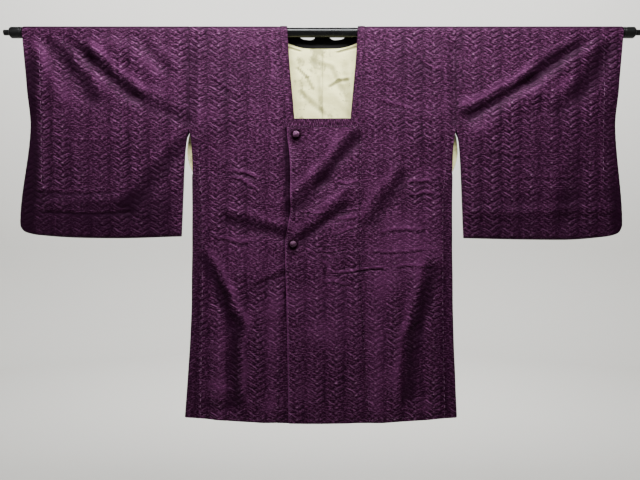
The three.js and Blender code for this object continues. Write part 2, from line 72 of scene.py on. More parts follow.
def turned_along_x(name, profile, sides):
    """A closed turned piece from (x, radius) in millimetres, from one end on the axis to the other."""
    angles = np.linspace(0, 2 * math.pi, sides, endpoint=False)
    points = [(profile[0][0] * MM, 0.0, 0.0)]
    for x, radius in profile[1:-1]:
        points += [(x * MM, radius * MM * math.cos(a), radius * MM * math.sin(a)) for a in angles]
    points.append((profile[-1][0] * MM, 0.0, 0.0))
    rings = len(profile) - 2
    quads, triangles = [], []
    for k in range(sides):
        after = (k + 1) % sides
        triangles.append((0, 1 + after, 1 + k))
        last = 1 + (rings - 1) * sides
        triangles.append((len(points) - 1, last + k, last + after))
        for ring in range(rings - 1):
            low = 1 + ring * sides
            quads.append((low + k, low + after, low + sides + after, low + sides + k))
    if profile[0][0] > profile[-1][0]:
        quads = [q[::-1] for q in quads]
        triangles = [t[::-1] for t in triangles]
    return new_mesh(name, points, quads, triangles)


def node(tree, kind, **settings):
    made = tree.nodes.new(kind)
    for key, value in settings.items():
        setattr(made, key, value)
    return made


def feed(tree, socket, value):
    """Sets a socket to a number or colour, or links it to another socket."""
    if isinstance(value, bpy.types.NodeSocket):
        tree.links.new(value, socket)
    elif value is not None:
        socket.default_value = value


def calc(tree, operation, a, b=None, c=None):
    made = node(tree, "ShaderNodeMath", operation=operation)
    for socket, value in zip(made.inputs, (a, b, c)):
        feed(tree, socket, value)
    return made.outputs[0]


def product(tree, value, *others):
    for other in others:
        value = calc(tree, "MULTIPLY", value, other)
    return value


def blend_colour(tree, share, first, second):
    made = node(tree, "ShaderNodeMix", data_type="RGBA")
    feed(tree, made.inputs[0], share)
    feed(tree, made.inputs[6], first)
    feed(tree, made.inputs[7], second)
    return made.outputs[2]


def ramp(tree, value, low, high, to_low=0.0, to_high=1.0):
    made = node(tree, "ShaderNodeMapRange", interpolation_type="SMOOTHSTEP")
    for socket, number in zip(made.inputs, (value, low, high, to_low, to_high)):
        feed(tree, socket, number)
    return made.outputs[0]


def noise(tree, place, scale, detail=2.0, roughness=0.5):
    made = node(tree, "ShaderNodeTexNoise")
    feed(tree, made.inputs["Vector"], place)
    feed(tree, made.inputs["Scale"], scale)
    feed(tree, made.inputs["Detail"], detail)
    feed(tree, made.inputs["Roughness"], roughness)
    return made.outputs["Fac"]


def stretched(tree, place, scale):
    made = node(tree, "ShaderNodeMapping")
    feed(tree, made.inputs["Vector"], place)
    made.inputs["Scale"].default_value = scale
    return made.outputs["Vector"]


def bumped(tree, height, distance, strength=1.0, normal=None):
    made = node(tree, "ShaderNodeBump")
    made.inputs["Strength"].default_value = strength
    made.inputs["Distance"].default_value = distance
    feed(tree, made.inputs["Height"], height)
    feed(tree, made.inputs["Normal"], normal)
    return made.outputs["Normal"]


def srgb(red, green, blue):
    """A colour given as seen on a screen, from 0 to 255, as the linear colour of a shader."""
    seen = (value / 255 for value in (red, green, blue))
    return (*(v / 12.92 if v < 0.04 else ((v + 0.055) / 1.055) ** 2.4 for v in seen), 1.0)


def new_material(name):
    material = bpy.data.materials.new(name)
    material.use_nodes = True
    tree = material.node_tree
    return material, tree, tree.nodes["Principled BSDF"]


def finish(tree, shader, colour, roughness, normal, **more):
    """Feeds the shader's colour, roughness and normal, and sets its other values."""
    values = {"Base Color": colour, "Roughness": roughness, "Normal": normal}
    values |= {name.replace("_", " "): value for name, value in more.items()}
    for name, value in values.items():
        feed(tree, shader.inputs[name], value)


def object_place(tree):
    return node(tree, "ShaderNodeTexCoord").outputs["Object"]


def new_group(name, kind, inputs, outputs):
    """A node group with its input and output nodes. Sockets are given as name: (kind, first value)."""
    group = bpy.data.node_groups.new(name, kind)
    for way, sockets in (("INPUT", inputs), ("OUTPUT", outputs)):
        for label, (socket, *value) in sockets.items():
            made = group.interface.new_socket(label, in_out=way, socket_type=f"NodeSocket{socket}")
            if value:
                made.default_value = value[0]
    return group, node(group, "NodeGroupInput"), node(group, "NodeGroupOutput")


def scuffs_group():
    """Fine lengthwise scratches, soft smudges and settled dust, shared by the paint and the plastic."""
    floats = {name: ("Float",) for name in ("Scratch", "Smudge", "Dust")}
    group, ins, outs = new_group("scuffs", "ShaderNodeTree", {"Place": ("Vector",)}, floats)
    place = ins.outputs["Place"]
    fine = noise(group, stretched(group, place, (14, 900, 900)), 1.0, 3.0, 0.6)
    feed(group, outs.inputs["Scratch"], ramp(group, fine, 0.62, 0.78))
    feed(group, outs.inputs["Smudge"], ramp(group, noise(group, place, 26, 3.0, 0.6), 0.4, 0.7))
    feed(group, outs.inputs["Dust"], ramp(group, noise(group, place, 900, 2.0, 0.7), 0.6, 0.85))
    return group


SCUFFS = scuffs_group()


def black_finish(name, colour, roughness, worn):
    material, tree, shader = new_material(name)
    scuffs = node(tree, "ShaderNodeGroup", node_tree=SCUFFS)
    feed(tree, scuffs.inputs["Place"], object_place(tree))
    scratch, smudge, dust = (scuffs.outputs[label] for label in ("Scratch", "Smudge", "Dust"))
    tone = blend_colour(tree, product(tree, scratch, 0.35), colour, worn)
    tone = blend_colour(tree, product(tree, dust, 0.12), tone, srgb(150, 146, 140))
    rough = calc(tree, "MULTIPLY_ADD", smudge, 0.12, roughness)
    rough = calc(tree, "MULTIPLY_ADD", scratch, 0.2, rough)
    finish(tree, shader, tone, rough, bumped(tree, scratch, 0.00004),
           Specular_IOR_Level=0.8, Specular_Tint=(0.32, 0.33, 0.34, 1.0))
    return material


def bevelled(profile, radius, steps=4):
    """Rounds every inner corner of a turned profile, which stays closed on its axis."""
    rounded = [profile[0]]
    for before, corner, after in zip(profile, profile[1:], profile[2:]):
        before, corner, after = (np.array(p, float) for p in (before, corner, after))
        inward, outward = before - corner, after - corner
        reach = min(radius, np.linalg.norm(inward) * 0.45, np.linalg.norm(outward) * 0.45)
        start = corner + inward / np.linalg.norm(inward) * reach
        end = corner + outward / np.linalg.norm(outward) * reach
        for t in np.linspace(0, 1, steps + 1):
            rounded.append(tuple((1 - t) ** 2 * start + 2 * t * (1 - t) * corner + t**2 * end))
    return rounded + [profile[-1]]


pipe_paint = black_finish("gloss black paint", srgb(13, 13, 14), 0.2, srgb(46, 45, 46))
cap_plastic = black_finish("black moulded plastic", srgb(15, 15, 15), 0.34, srgb(60, 58, 57))

pipe_corners = ((-1, 0), (-1, ROD_RADIUS), (1, ROD_RADIUS), (1, 0))
pipe_outline = bevelled([(end * ROD_HALF_LENGTH, radius) for end, radius in pipe_corners], ROD_BEVEL)
pipe = turned_along_x("painted_pipe", pipe_outline, ROD_SIDES)
pipe.data.materials.append(pipe_paint)
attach(pipe, "root")
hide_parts("rod_pipe")

groove_start, groove_width, groove_depth = GROOVE
cap_outline = bevelled([
    (CAP_START, 0),
    (CAP_START, CAP_RADIUS),
    (CAP_START + groove_start, CAP_RADIUS),
    (CAP_START + groove_start + groove_width / 2, CAP_RADIUS - groove_depth),
    (CAP_START + groove_start + groove_width, CAP_RADIUS),
    (CAP_END - CAP_TAPER[0], CAP_RADIUS),
    (CAP_END, CAP_RADIUS - CAP_TAPER[1]),
    (CAP_END, PIN_RADIUS),
    (PIN_END, PIN_RADIUS),
    (PIN_END, 0),
], CAP_BEVEL)
for side, sign in (("left", 1), ("right", -1)):
    cap = turned_along_x(f"moulded_cap_{side}", [(sign * x, radius) for x, radius in cap_outline], ROD_SIDES)
    cap.data.materials.append(cap_plastic)
    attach(cap, "root")
    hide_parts(f"rod_cap_{side}")


# The two halves of the body are each one length of purple jacquard silk, front and back in one
# over the shoulder. They hang from the rod, sewn together down the centre of the back.
CLOTH_TO_ROD = 0.4
CAD_WALL = 2.2
FOLD_RADIUS = ROD_RADIUS + CLOTH_TO_ROD + CAD_WALL / 2
QUARTER_TURN = FOLD_RADIUS * math.pi / 2
SILK = 1.5
FOLDED_EDGE = 1.1
HALF_BODY = 294.0
ARMHOLE_DROP = 209.0
SLIT_END_DROP = 312.0
HEM_DROP = 863.0
NECK_CORNER_DROP = 209.5
NECK_AT_SHOULDER = 94.0
NECK_AT_CORNER = 80.8
SIDE_HALF_GAP = 4.5
SIDE_CLOSES = (170, 285)
SIDE_SMOOTHS = (225, 262)
LEAST_HALF_GAP = 3.6
SEAM_EDGE = -0.5
FRONT_STEP = 2.4
BACK_STEP = 5.0
ACROSS_STEP = 3.4
USUAL_SPAN = 230.0
FAR = 1e3

# Half the depth of the hanging body: drop, half depth
BODY_DEPTH = np.array([(0, FOLD_RADIUS), (200, 11.5), (450, 11.0), (HEM_DROP, 12.5)])

# Outline of the sides: drop, gusset fold left and right, gusset seam left and right, back edge
SIDES = np.array([
    (0, 294, 294, 294, 294, 294),
    (209, 294, 294, 294, 294, 294),
    (235, 291, 292, 289.5, 290, 299),
    (262, 289, 290, 287.5, 288, 301),
    (290, 288, 288.5, 286.8, 287, 296),
    (312, 287.5, 288, 286.4, 286.8, 286.6),
    (330, 287.3, 288, 279, 280, 279),
    (370, 287, 288, 267, 270, 268),
    (588, 288, 289, 267, 270, 268),
    (737, 292.5, 296, 268, 274, 272),
    (863, 297, 304, 271, 279, 276),
])
FOLD_COLUMN = {1: 1, -1: 2}
SEAM_COLUMN = {1: 3, -1: 4}
BACK_COLUMN = 5

# Front edge of each half, where its overlap is sewn on: drop, distance from the centre
FRONT_SEAM = np.array([(NECK_CORNER_DROP, NECK_AT_CORNER), (526, 81), (650, 87), (HEM_DROP, 101)])

# Free edge of the top overlap, which shades the cloth beside it: drop, x
OVERLAP_TOP = 210.5
TOP_EDGE = np.array([
    (212, -78.4),
    (235, -77.0),
    (262, -73.5),
    (312, -70.5),
    (400, -71.5),
    (440, -78.0),
    (478, -82.5),
    (530, -81.0),
    (600, -79.0),
    (720, -76.5),
    (863, -74),
])

# How far the hem lifts towards the sides: distance from the centre, lift
HEM_LIFT = np.array([(0, 0), (100, 1), (200, 5), (305, 11)])

# Seam of the neck band behind the crown, from the shoulder to the centre: distance, drop
BACK_NECK = np.array([(94, 0), (90.5, 10), (77, 21), (59, 28.3), (40, 32.5), (20, 33.5), (0, 33.7)])
BACK_NECK_SIDE = np.array([0, 13, 28, 44, 60, 76, 92])
BACK_FAN = np.array([(60, 110), (90, 130), (122, 152), (160, 178), (209, 209)])

# Folds of the front, each from one end to the other: x, drop, x, drop, width, height
FRONT_FOLDS = np.array([
    (-562, 2, -507, 62, 15, -5.6),
    (-507, 62, -405, 140, 16, -6.0),
    (-405, 140, -305, 192, 16, -2.4),
    (-490, 10, -370, 90, 24, 3.0),
    (-602, 16, -500, 142, 19, -4.2),
    (-642, 18, -572, 150, 17, 3.2),
    (-402, 2, -340, 84, 14, -2.2),
    (-640, 61, -642, 340, 17, -3.6),
    (-305, 249, -437, 382, 20, -3.2),
    (-600, 380, -440, 374, 14, 2.4),
    (583, 8, 456, 106, 18, -6.4),
    (456, 106, 322, 180, 15, -6.0),
    (622, 8, 470, 136, 20, 3.6),
    (470, 136, 345, 220, 20, 2.4),
    (634, 24, 560, 130, 22, -4.4),
    (560, 130, 520, 170, 20, -2.6),
    (560, 300, 520, 410, 26, -2.2),
    (640, 392, 330, 398, 13, 2.6),
    (-262, 500, -219, 579, 15, -5.2),
    (-219, 579, -193, 640, 16, -5.4),
    (-193, 640, -190, 812, 16, -5.8),
    (-120, 590, -132, 850, 24, 4.0),
    (-232, 640, -238, 850, 22, 3.4),
    (240, 522, 204, 657, 17, -4.8),
    (204, 657, 184, 803, 17, -5.0),
    (140, 560, 128, 850, 26, 3.4),
    (240, 660, 238, 850, 20, 3.0),
    (71, 237, -4, 322, 17, -4.6),
    (-4, 322, -62, 384, 17, -3.8),
    (46, 388, -50, 452, 15, -4.4),
    (60, 345, -16, 398, 12, 2.6),
    (171, 316, 107, 420, 17, -3.6),
    (-204, 410, -88, 446, 16, -3.7),
    (-87, 531, -144, 559, 9, -2.0),
    (-282, 30, -284, 200, 11, -2.0),
    (283, 30, 285, 200, 11, -2.0),
    (-250, 786, -205, 792, 12, 2.6),
    (-262, 818, -196, 824, 12, -2.6),
])

# Painted shade on the strip beside the side seams, where the cloth lies doubled: distances where it starts
# and ends
DOUBLED_EDGE = (268, 280, 300, 304)

# Broad patches of painted shade and painted light on the front: x, drop, reach across, reach down, shade
FRONT_PAINTED_LIGHT = np.array([
    (-195, 85, 70, 60, 0.28),
    (195, 85, 80, 60, 0.32),
    (525, 70, 80, 50, 0.42),
    (525, 240, 110, 70, 0.26),
    (195, 480, 90, 70, -0.36),
    (5, 620, 70, 60, -0.24),
    (-185, 480, 60, 50, -0.16),
    (236, 690, 42, 110, 0.30),
    (-130, 740, 34, 90, 0.16),
])

# Sharp pressed creases of the front: the same columns
FRONT_CREASES = np.array([
    (-117, 26, -117, 136, 2.6, -1.3),
    (-455, 2, -435, 382, 2.6, -0.8),
    (-659, 356, -437, 356, 3.4, -1.5),
    (-659, 400, -382, 400, 3.4, -1.5),
    (-655, 378, -560, 379, 6.0, 1.0),
    (-216, 309, -134, 329, 4.2, -1.6),
    (-209, 322, -147, 349, 4.0, -1.3),
    (178, 342, 247, 329, 4.0, -1.4),
    (183, 365, 260, 362, 4.0, -1.4),
    (28, 338, 87, 340, 3.6, -1.3),
    (90, 489, 262, 486, 3.0, -0.9),
    (17, 534, 150, 524, 2.4, -2.0),
    (150, 524, 262, 518, 3.0, -1.1),
    (-54, 405, 14, 401, 2.4, -0.9),
    (26, 401, 78, 397, 2.4, -0.9),
    (18, 452, 78, 436, 2.4, -1.2),
    (-34, 476, 56, 472, 2.3, -0.7),
    (-14, 489, 66, 484, 2.3, -0.7),
    (-6, 500, 58, 502, 2.3, -0.7),
    (-44, 480, -10, 500, 2.4, -0.9),
    (-1, 555, 61, 560, 3.2, -1.2),
    (-3, 504, 13, 538, 3.4, -1.4),
    (22, 424, 84, 410, 3.4, -1.0),
    (120, 448, 232, 437, 4.0, -1.1),
    (-242, 462, -150, 470, 4.0, -1.1),
    (420, 330, 600, 322, 3.4, -1.0),
    (352, 268, 470, 282, 3.6, -1.0),
    (-612, 236, -480, 246, 3.6, -1.0),
    (196, 60, 262, 96, 4.5, -1.1),
    (-250, 110, -180, 150, 4.5, -1.1),
    (112, 150, 188, 178, 4.2, -1.1),
])

# Folds and creases of the back, of the same kinds
BACK_FOLDS = np.array([
    (-470, 15, -312, 170, 21, -5.0),
    (-560, 210, -430, 390, 24, -3.2),
    (-640, 70, -636, 330, 20, -2.2),
    (455, 12, 318, 178, 21, -5.0),
    (600, 60, 480, 240, 24, -3.6),
    (540, 330, 400, 400, 20, 2.6),
    (640, 384, 350, 392, 14, 2.4),
    (-150, 300, -196, 520, 25, -4.2),
    (-196, 520, -176, 830, 25, -4.8),
    (-95, 500, -112, 850, 26, 4.0),
    (118, 260, 166, 470, 23, -3.8),
    (166, 470, 206, 820, 25, -4.8),
    (96, 560, 116, 850, 26, 3.6),
    (-240, 640, -246, 850, 20, 3.2),
    (-30, 90, 50, 150, 16, -1.8),
    (-250, 40, -200, 180, 16, -2.2),
    (240, 60, 205, 190, 16, -2.2),
])
BACK_CREASES = np.array([
    (-470, 356, -655, 358, 3.4, -1.4),
    (-400, 400, -655, 402, 3.4, -1.4),
    (-230, 330, -60, 344, 3.6, -1.3),
    (40, 352, 250, 338, 3.6, -1.3),
    (-250, 486, -20, 490, 3.4, -1.2),
    (12, 520, 190, 530, 3.4, -1.2),
    (-120, 600, 40, 606, 3.4, -1.0),
    (380, 300, 600, 312, 3.4, -1.1),
    (60, 120, 180, 150, 4.2, -1.1),
    (-200, 150, -90, 170, 4.2, -1.1),
    (-118, 30, -118, 200, 2.6, -1.1),
    (120, 60, 120, 260, 2.6, -1.0),
])


def smooth_step(value, low, high):
    t = np.clip((value - low) / (high - low), 0, 1)
    return t * t * (3 - 2 * t)


def curve_through(table, value, column=1):
    """A smooth curve through a table's rows, which never swings past its points."""
    xs, ys = table[:, 0].astype(float), table[:, column].astype(float)
    value = np.clip(value, xs[0], xs[-1])
    rise = np.diff(ys) / np.diff(xs)
    slope = np.zeros(len(xs))
    same_way = rise[:-1] * rise[1:] > 0
    mean = np.where(same_way, 2 * rise[:-1] * rise[1:] / np.where(same_way, rise[:-1] + rise[1:], 1), 0)
    slope[1:-1] = mean
    slope[0], slope[-1] = rise[0], rise[-1]
    k = np.clip(np.searchsorted(xs, value, side="right") - 1, 0, len(xs) - 2)
    step = xs[k + 1] - xs[k]
    t = (value - xs[k]) / step
    start = (2 * t**3 - 3 * t**2 + 1) * ys[k] + (t**3 - 2 * t**2 + t) * step * slope[k]
    return start + (3 * t**2 - 2 * t**3) * ys[k + 1] + (t**3 - t**2) * step * slope[k + 1]


def ridge(away, reach=1.0, power=2):
    """1 at a line, and less away from it."""
    return np.exp(-((away / reach) ** power))


def along_line(line, x, drop):
    """Where flat places lie beside a line: share along it, distance past its ends, distance to its dark
    side, which faces down and away from the middle, and its length."""
    x1, drop1, x2, drop2 = line
    along_x, along_drop = x2 - x1, drop2 - drop1
    length = math.hypot(along_x, along_drop)
    share = ((x - x1) * along_x + (drop - drop1) * along_drop) / length**2
    past = (share - np.clip(share, 0, 1)) * length
    side = ((x - x1) * -along_drop + (drop - drop1) * along_x) / length
    to_dark = -along_drop * (x1 + x2) / 2 + along_x * ((drop1 + drop2) / 2 + 700)
    return share, past, side * (1 if to_dark > 0 else -1), length


def folds_at(lines, x, drop):
    """Height and shade of the soft folds at flat places. A trough has a lit ridge above it."""
    height = np.zeros(np.broadcast(x, drop).shape)
    shade = np.zeros_like(height)
    for *line, width, rise in lines:
        share, past, side, length = along_line(line, x, drop)
        wander = 1 + 0.2 * np.sin(share * length / 23 + line[0]) * np.cos(share * length / 37 + line[1])
        bend = 0.16 * width * np.sin(share * length / 41 + line[1])
        t, end = (side - bend) / (width * wander), ridge(past, width)
        if rise < 0:
            strength = min(-rise / 5.0, 1.0)
            height -= rise * (-1.15 * t - 0.5) * ridge(t) * end
            shade += strength * ridge(t - 0.1, 1.0, 4) * end
            shade -= 0.3 * strength * ridge(t + 1.5, 0.6) * end
        else:
            height += rise * ridge(t) * end
            shade -= 0.07 * rise * ridge(t + 0.5, 0.8) * end
    return height, shade


def creases_at(lines, x, drop):
    """Height and shade of the sharp creases at flat places. Each has a raised, lit lip above it."""
    height = np.zeros(np.broadcast(x, drop).shape)
    shade = np.zeros_like(height)
    for *line, width, rise in lines:
        share, past, side, length = along_line(line, x, drop)
        bend = min(width, 3.0) * 0.8 * np.sin(np.clip(share, 0, 1) * 7.0 + line[1])
        ends = smooth_step(share, 0, 0.2) * (1 - smooth_step(share, 0.8, 1))
        t = (side - bend) / width
        height += rise * ends * (ridge(t) - 0.7 * ridge(t + 1.8))
        strength = min(-rise / 1.3, 1.5) if rise < 0 else -0.4
        shade += 0.5 * strength * ends * (ridge(t) - 0.8 * ridge(t + 1.8))
    return height, shade


def soft_noise(x, drop, size, seed):
    """Smooth random unevenness, from -1 to 1, with lumps of about the size given."""
    draw = np.random.default_rng(seed)
    total = 0.0
    for _ in range(7):
        turn, phase = draw.uniform(0, math.pi), draw.uniform(0, 2 * math.pi)
        rate = 2 * math.pi / (size * draw.uniform(0.7, 1.6))
        total = total + np.sin((x * math.cos(turn) + drop * math.sin(turn)) * rate + phase)
    return total / 4.2


def cloth_surface(side, x, drop):
    """Height and shade of the cloth at flat places, on the front (side -1) or the back (1)."""
    tables = ((FRONT_FOLDS, FRONT_CREASES), (BACK_FOLDS, BACK_CREASES))
    found = [folds_at(folds, x, drop) + creases_at(creases, x, drop) for folds, creases in tables]
    front, back = ((one + other, first + second) for one, first, other, second in found)
    uneven = 0.9 * soft_noise(x, drop, 130, 3) + 0.45 * soft_noise(x * 0.8, drop * 1.3, 42, 5)
    height = np.where(side < 0, front[0], back[0]) + uneven
    # Broad painted shade (above 0) and painted light (below 0) on the front
    painted_light_patches = sum(
        tone * np.exp(-(((x - at_x) / wide) ** 2) - ((drop - at_drop) / tall) ** 2)
        for at_x, at_drop, wide, tall, tone in FRONT_PAINTED_LIGHT
    )
    shade = np.where(side < 0, front[1] + painted_light_patches, back[1]) - 0.12 * soft_noise(x, drop, 90, 8)
    # Painted shade on the doubled strip beside the side seams and towards the hem, with a painted dark line
    # at the hem's edge
    doubled = smooth_step(np.abs(x), *DOUBLED_EDGE[:2]) * (1 - smooth_step(np.abs(x), *DOUBLED_EDGE[2:]))
    towards_hem = 0.26 * smooth_step(drop, 822, 858) + 0.6 * ridge(HEM_DROP - drop, 2.4)
    shade = shade + 0.38 * doubled * smooth_step(drop, 215, 300) + towards_hem
    near_rod = smooth_step(drop, 0, 42)
    return height * near_rod, shade * near_rod


def edge_shadow(x, drop):
    """Shade on the cloth under the free edge of the top overlap, wide where the edge stands away."""
    behind = curve_through(TOP_EDGE, drop) - x
    gape = smooth_step(drop, 222, 262) * (1 - smooth_step(drop, 372, 440))
    inside = smooth_step(drop, OVERLAP_TOP - 8, OVERLAP_TOP + 10)
    return (0.75 + 0.6 * gape) * inside * np.where(behind > 0, ridge(behind, 2.8 + 9.0 * gape), 1.0)


def cloth_height(side, x, drop):
    return cloth_surface(side, x, drop)[0]


def cloth_shade(side, x, drop):
    """How dark the silk looks in its folds, from -1 for lit ridges to 1."""
    return np.clip(cloth_surface(side, x, drop)[1], -1, 1)


def weave_relief(x, drop):
    """How far the woven figure stands out. It lies flat over the chest, where the cloth is stretched."""
    return 0.5 + 0.5 * np.maximum(smooth_step(np.abs(x), 110, 240), 0.9 * smooth_step(drop, 380, 620))


def body_half_depth(x, drop):
    plain = curve_through(BODY_DEPTH, drop)
    closing = smooth_step(np.abs(x), *SIDE_CLOSES) * smooth_step(drop, ARMHOLE_DROP, SLIT_END_DROP)
    return plain + (SIDE_HALF_GAP - plain) * closing


def body_form(x, length):
    """The middle of the body's cloth at flat places: x, and the length from the crown, below 0 in front."""
    side = np.where(length < 0, -1.0, 1.0)
    reach = np.abs(length)
    drop = np.maximum(reach - QUARTER_TURN, 0)
    calm = 1 - smooth_step(np.abs(x), *SIDE_SMOOTHS) * smooth_step(drop, ARMHOLE_DROP, SLIT_END_DROP)
    plain = body_half_depth(x, drop)
    half = np.maximum(plain + cloth_height(side, x, drop) * calm, np.minimum(plain, LEAST_HALF_GAP))
    angle = np.minimum(reach, QUARTER_TURN) / FOLD_RADIUS
    y = np.where(drop > 0, side * half, side * FOLD_RADIUS * np.sin(angle))
    z = np.where(drop > 0, -drop, FOLD_RADIUS * np.cos(angle))
    return np.stack([x + 0 * length, y, z], axis=-1)


def body_outward(x, length):
    across = body_form(x + 1, length) - body_form(x - 1, length)
    over = body_form(x, length + 1) - body_form(x, length - 1)
    out = np.cross(across, over)
    return out / np.linalg.norm(out, axis=-1, keepdims=True)


def edge_stations(span, step):
    """Stations across a span, close together at both edges, where the cloth rounds over."""
    rim = [0.0, 0.3, 0.8, 1.6, 3.0]
    count = max(int((span - 2 * rim[-1]) / step), 2)
    middle = np.linspace(rim[-1], span - rim[-1], count + 1)[1:-1]
    return np.concatenate([rim, middle, [span - r for r in reversed(rim)]])


def half_thickness(rim, wall):
    """The cloth is rounded over at its edges, where it is folded in."""
    t = np.clip(rim / FOLDED_EDGE, 0, 1)
    return wall / 2 * np.maximum(np.sqrt(1 - (1 - t) ** 2), 0.12)


def cloth_shell(name, middle, out, raised, half, flat, shade, relief, materials, ring=False):
    """A closed shell of cloth, raised off a grid of places by a height and with half its thickness on
    each side. Its UV map is the flat cloth in metres, and a ring is closed along its rows."""
    outer = middle + out * (raised + half)[..., None]
    inner = middle + out * (raised - half)[..., None]
    rows, columns = outer.shape[:2]
    count = rows * columns
    index = np.arange(count).reshape(rows, columns)
    if ring:
        index = np.vstack([index, index[:1]])
    corner_slices = [np.s_[:-1, :-1], np.s_[:-1, 1:], np.s_[1:, 1:], np.s_[1:, :-1]]
    faces = [np.stack([index[s] for s in corner_slices], -1).reshape(-1, 4)]
    places = [np.stack([flat[s] for s in corner_slices], -2).reshape(-1, 4, 2)]
    faces.append(faces[0][:, ::-1] + count)
    places.append(places[0][:, ::-1])

    def rim_strip(line, flat_line):
        first, second = line[:-1], line[1:]
        faces.append(np.stack([second, first, first + count, second + count], -1))
        places.append(np.stack([flat_line[1:], flat_line[:-1], flat_line[:-1], flat_line[1:]], -2))

    rim_strip(index[::-1, 0], flat[::-1, 0])
    rim_strip(index[:, -1], flat[:, -1])
    if not ring:
        rim_strip(index[0, :], flat[0, :])
        rim_strip(index[-1, ::-1], flat[-1, ::-1])
    outside = len(faces[0])
    inside = np.zeros(sum(len(f) for f in faces), dtype=np.int32)
    inside[outside:2 * outside] = 1
    faces, places = np.concatenate(faces), np.concatenate(places)
    points = np.concatenate([outer.reshape(-1, 3), inner.reshape(-1, 3)]) * MM
    a, b, c, d = (points[faces[:, k]] for k in range(4))
    volume = (np.cross(a, b) * c).sum() + (np.cross(a, c) * d).sum()
    if volume < 0:
        faces, places = faces[:, ::-1], places[:, ::-1]
    mesh = bpy.data.meshes.new(name)
    mesh.vertices.add(len(points))
    mesh.vertices.foreach_set("co", points.ravel())
    mesh.loops.add(faces.size)
    mesh.loops.foreach_set("vertex_index", faces.ravel().astype(np.int32))
    mesh.polygons.add(len(faces))
    mesh.polygons.foreach_set("loop_start", np.arange(0, faces.size, 4, dtype=np.int32))
    mesh.polygons.foreach_set("material_index", inside if len(materials) > 1 else inside * 0)
    mesh.polygons.foreach_set("use_smooth", np.ones(len(faces), dtype=bool))
    layer = mesh.uv_layers.new(name="flat cloth")
    layer.data.foreach_set("uv", (places * MM).ravel())
    for label, values in (("shade", shade), ("relief", relief)):
        values = np.broadcast_to(values, outer.shape[:2]).ravel()
        layer = mesh.attributes.new(label, "FLOAT", "POINT")
        layer.data.foreach_set("value", np.concatenate([values, values]).astype(np.float32))
    mesh.update(calc_edges=True)
    for material in materials:
        mesh.materials.append(material)
    return placed(name, mesh)


def hem_lifted(x, length):
    """Flat lengths near the hem, drawn up towards the sides as the hem is."""
    drop = np.abs(length) - QUARTER_TURN
    lift = curve_through(HEM_LIFT, np.abs(x)) * smooth_step(drop, 640, HEM_DROP)
    return length - np.sign(length) * lift


def front_length(drop):
    return -(QUARTER_TURN + drop)


def back_length(drop):
    return QUARTER_TURN + drop


def seam_pucker(length, away):
    """Small uneven gathers along a seam, and the groove that the stitches pull."""
    gathers = 0.30 * np.sin(length / 2.6 + 2.2 * np.sin(length / 17)) * ridge(away, 8)
    return gathers - 0.55 * ridge(away, 2.2)


def seam_shade(away):
    return 0.5 * ridge(away, 2.5)


def body_panel(name, x, length, seam_away, free_away, lift, wall, materials, more_shade=0.0):
    """A shell that lies on the body's form at flat places, with lift moving it out of the cloth."""
    length = hem_lifted(x, length)
    half = half_thickness(np.minimum(seam_away, free_away), wall)
    drop = np.maximum(np.abs(length) - QUARTER_TURN, 0)
    shade = cloth_shade(np.sign(length), x, drop) + more_shade + seam_shade(seam_away)
    return cloth_shell(
        name, body_form(x, length), body_outward(x, length), lift + seam_pucker(length, seam_away), half,
        np.stack([x, length], -1), shade, weave_relief(x, drop), materials,
    )


def crown_shade(from_crown):
    """The top of the fold over the rod is turned away from the light and looks dark."""
    return 0.95 * (1 - smooth_step(from_crown, 10.0, 16.5))


def neck_seam_x(length):
    share = np.clip(-length / (QUARTER_TURN + NECK_CORNER_DROP), 0, 1)
    return NECK_AT_SHOULDER + (NECK_AT_CORNER - NECK_AT_SHOULDER) * share


def beside_neck(count):
    """Lengths from the neck's front corner up to the rod and over it."""
    over_rod = np.linspace(-QUARTER_TURN, QUARTER_TURN, 22)[1:]
    return np.concatenate([front_length(np.linspace(NECK_CORNER_DROP, 0, count)), over_rod])


def between_rows(first, second, share):
    return first[:, None] + (second - first)[:, None] * share


def body_rows(sign):
    """The ends of every row of a body half, from the front hem over the shoulder to the back hem."""
    front_drops = HEM_DROP - edge_stations(HEM_DROP - NECK_CORNER_DROP, FRONT_STEP)
    front_drops = front_drops[front_drops > NECK_CORNER_DROP + 1]
    front = front_length(front_drops)
    neck = beside_neck(56)
    fan = np.concatenate([np.column_stack([BACK_NECK, BACK_NECK_SIDE]), np.insert(BACK_FAN, 0, 0, axis=1)])
    keys = np.arange(len(fan))
    fine = np.linspace(0, len(keys) - 1, 10 * (len(keys) - 1) + 1)[1:]
    fan_x, fan_inner, fan_outer = (curve_through(np.column_stack([keys, fan]), fine, k) for k in (1, 2, 3))
    back_drops = (HEM_DROP - edge_stations(HEM_DROP - ARMHOLE_DROP, BACK_STEP))[::-1]
    back_drops = back_drops[back_drops > ARMHOLE_DROP + 1]
    back = back_length(back_drops)
    front_side = curve_through(SIDES, front_drops, SEAM_COLUMN[sign])
    fan_length = back_length(fan_inner + SEAM_EDGE)
    rows = (
        (curve_through(FRONT_SEAM, front_drops), front, front_side, front),
        (neck_seam_x(neck), neck, 0 * neck + HALF_BODY, neck),
        (np.maximum(fan_x, 0), fan_length, 0 * fine + HALF_BODY, back_length(fan_outer)),
        (0 * back, back, curve_through(SIDES, back_drops, BACK_COLUMN), back),
    )
    return np.concatenate([
        np.stack([inner_x + SEAM_EDGE, inner, outer_x - SEAM_EDGE, outer], -1)
        for inner_x, inner, outer_x, outer in rows
    ])


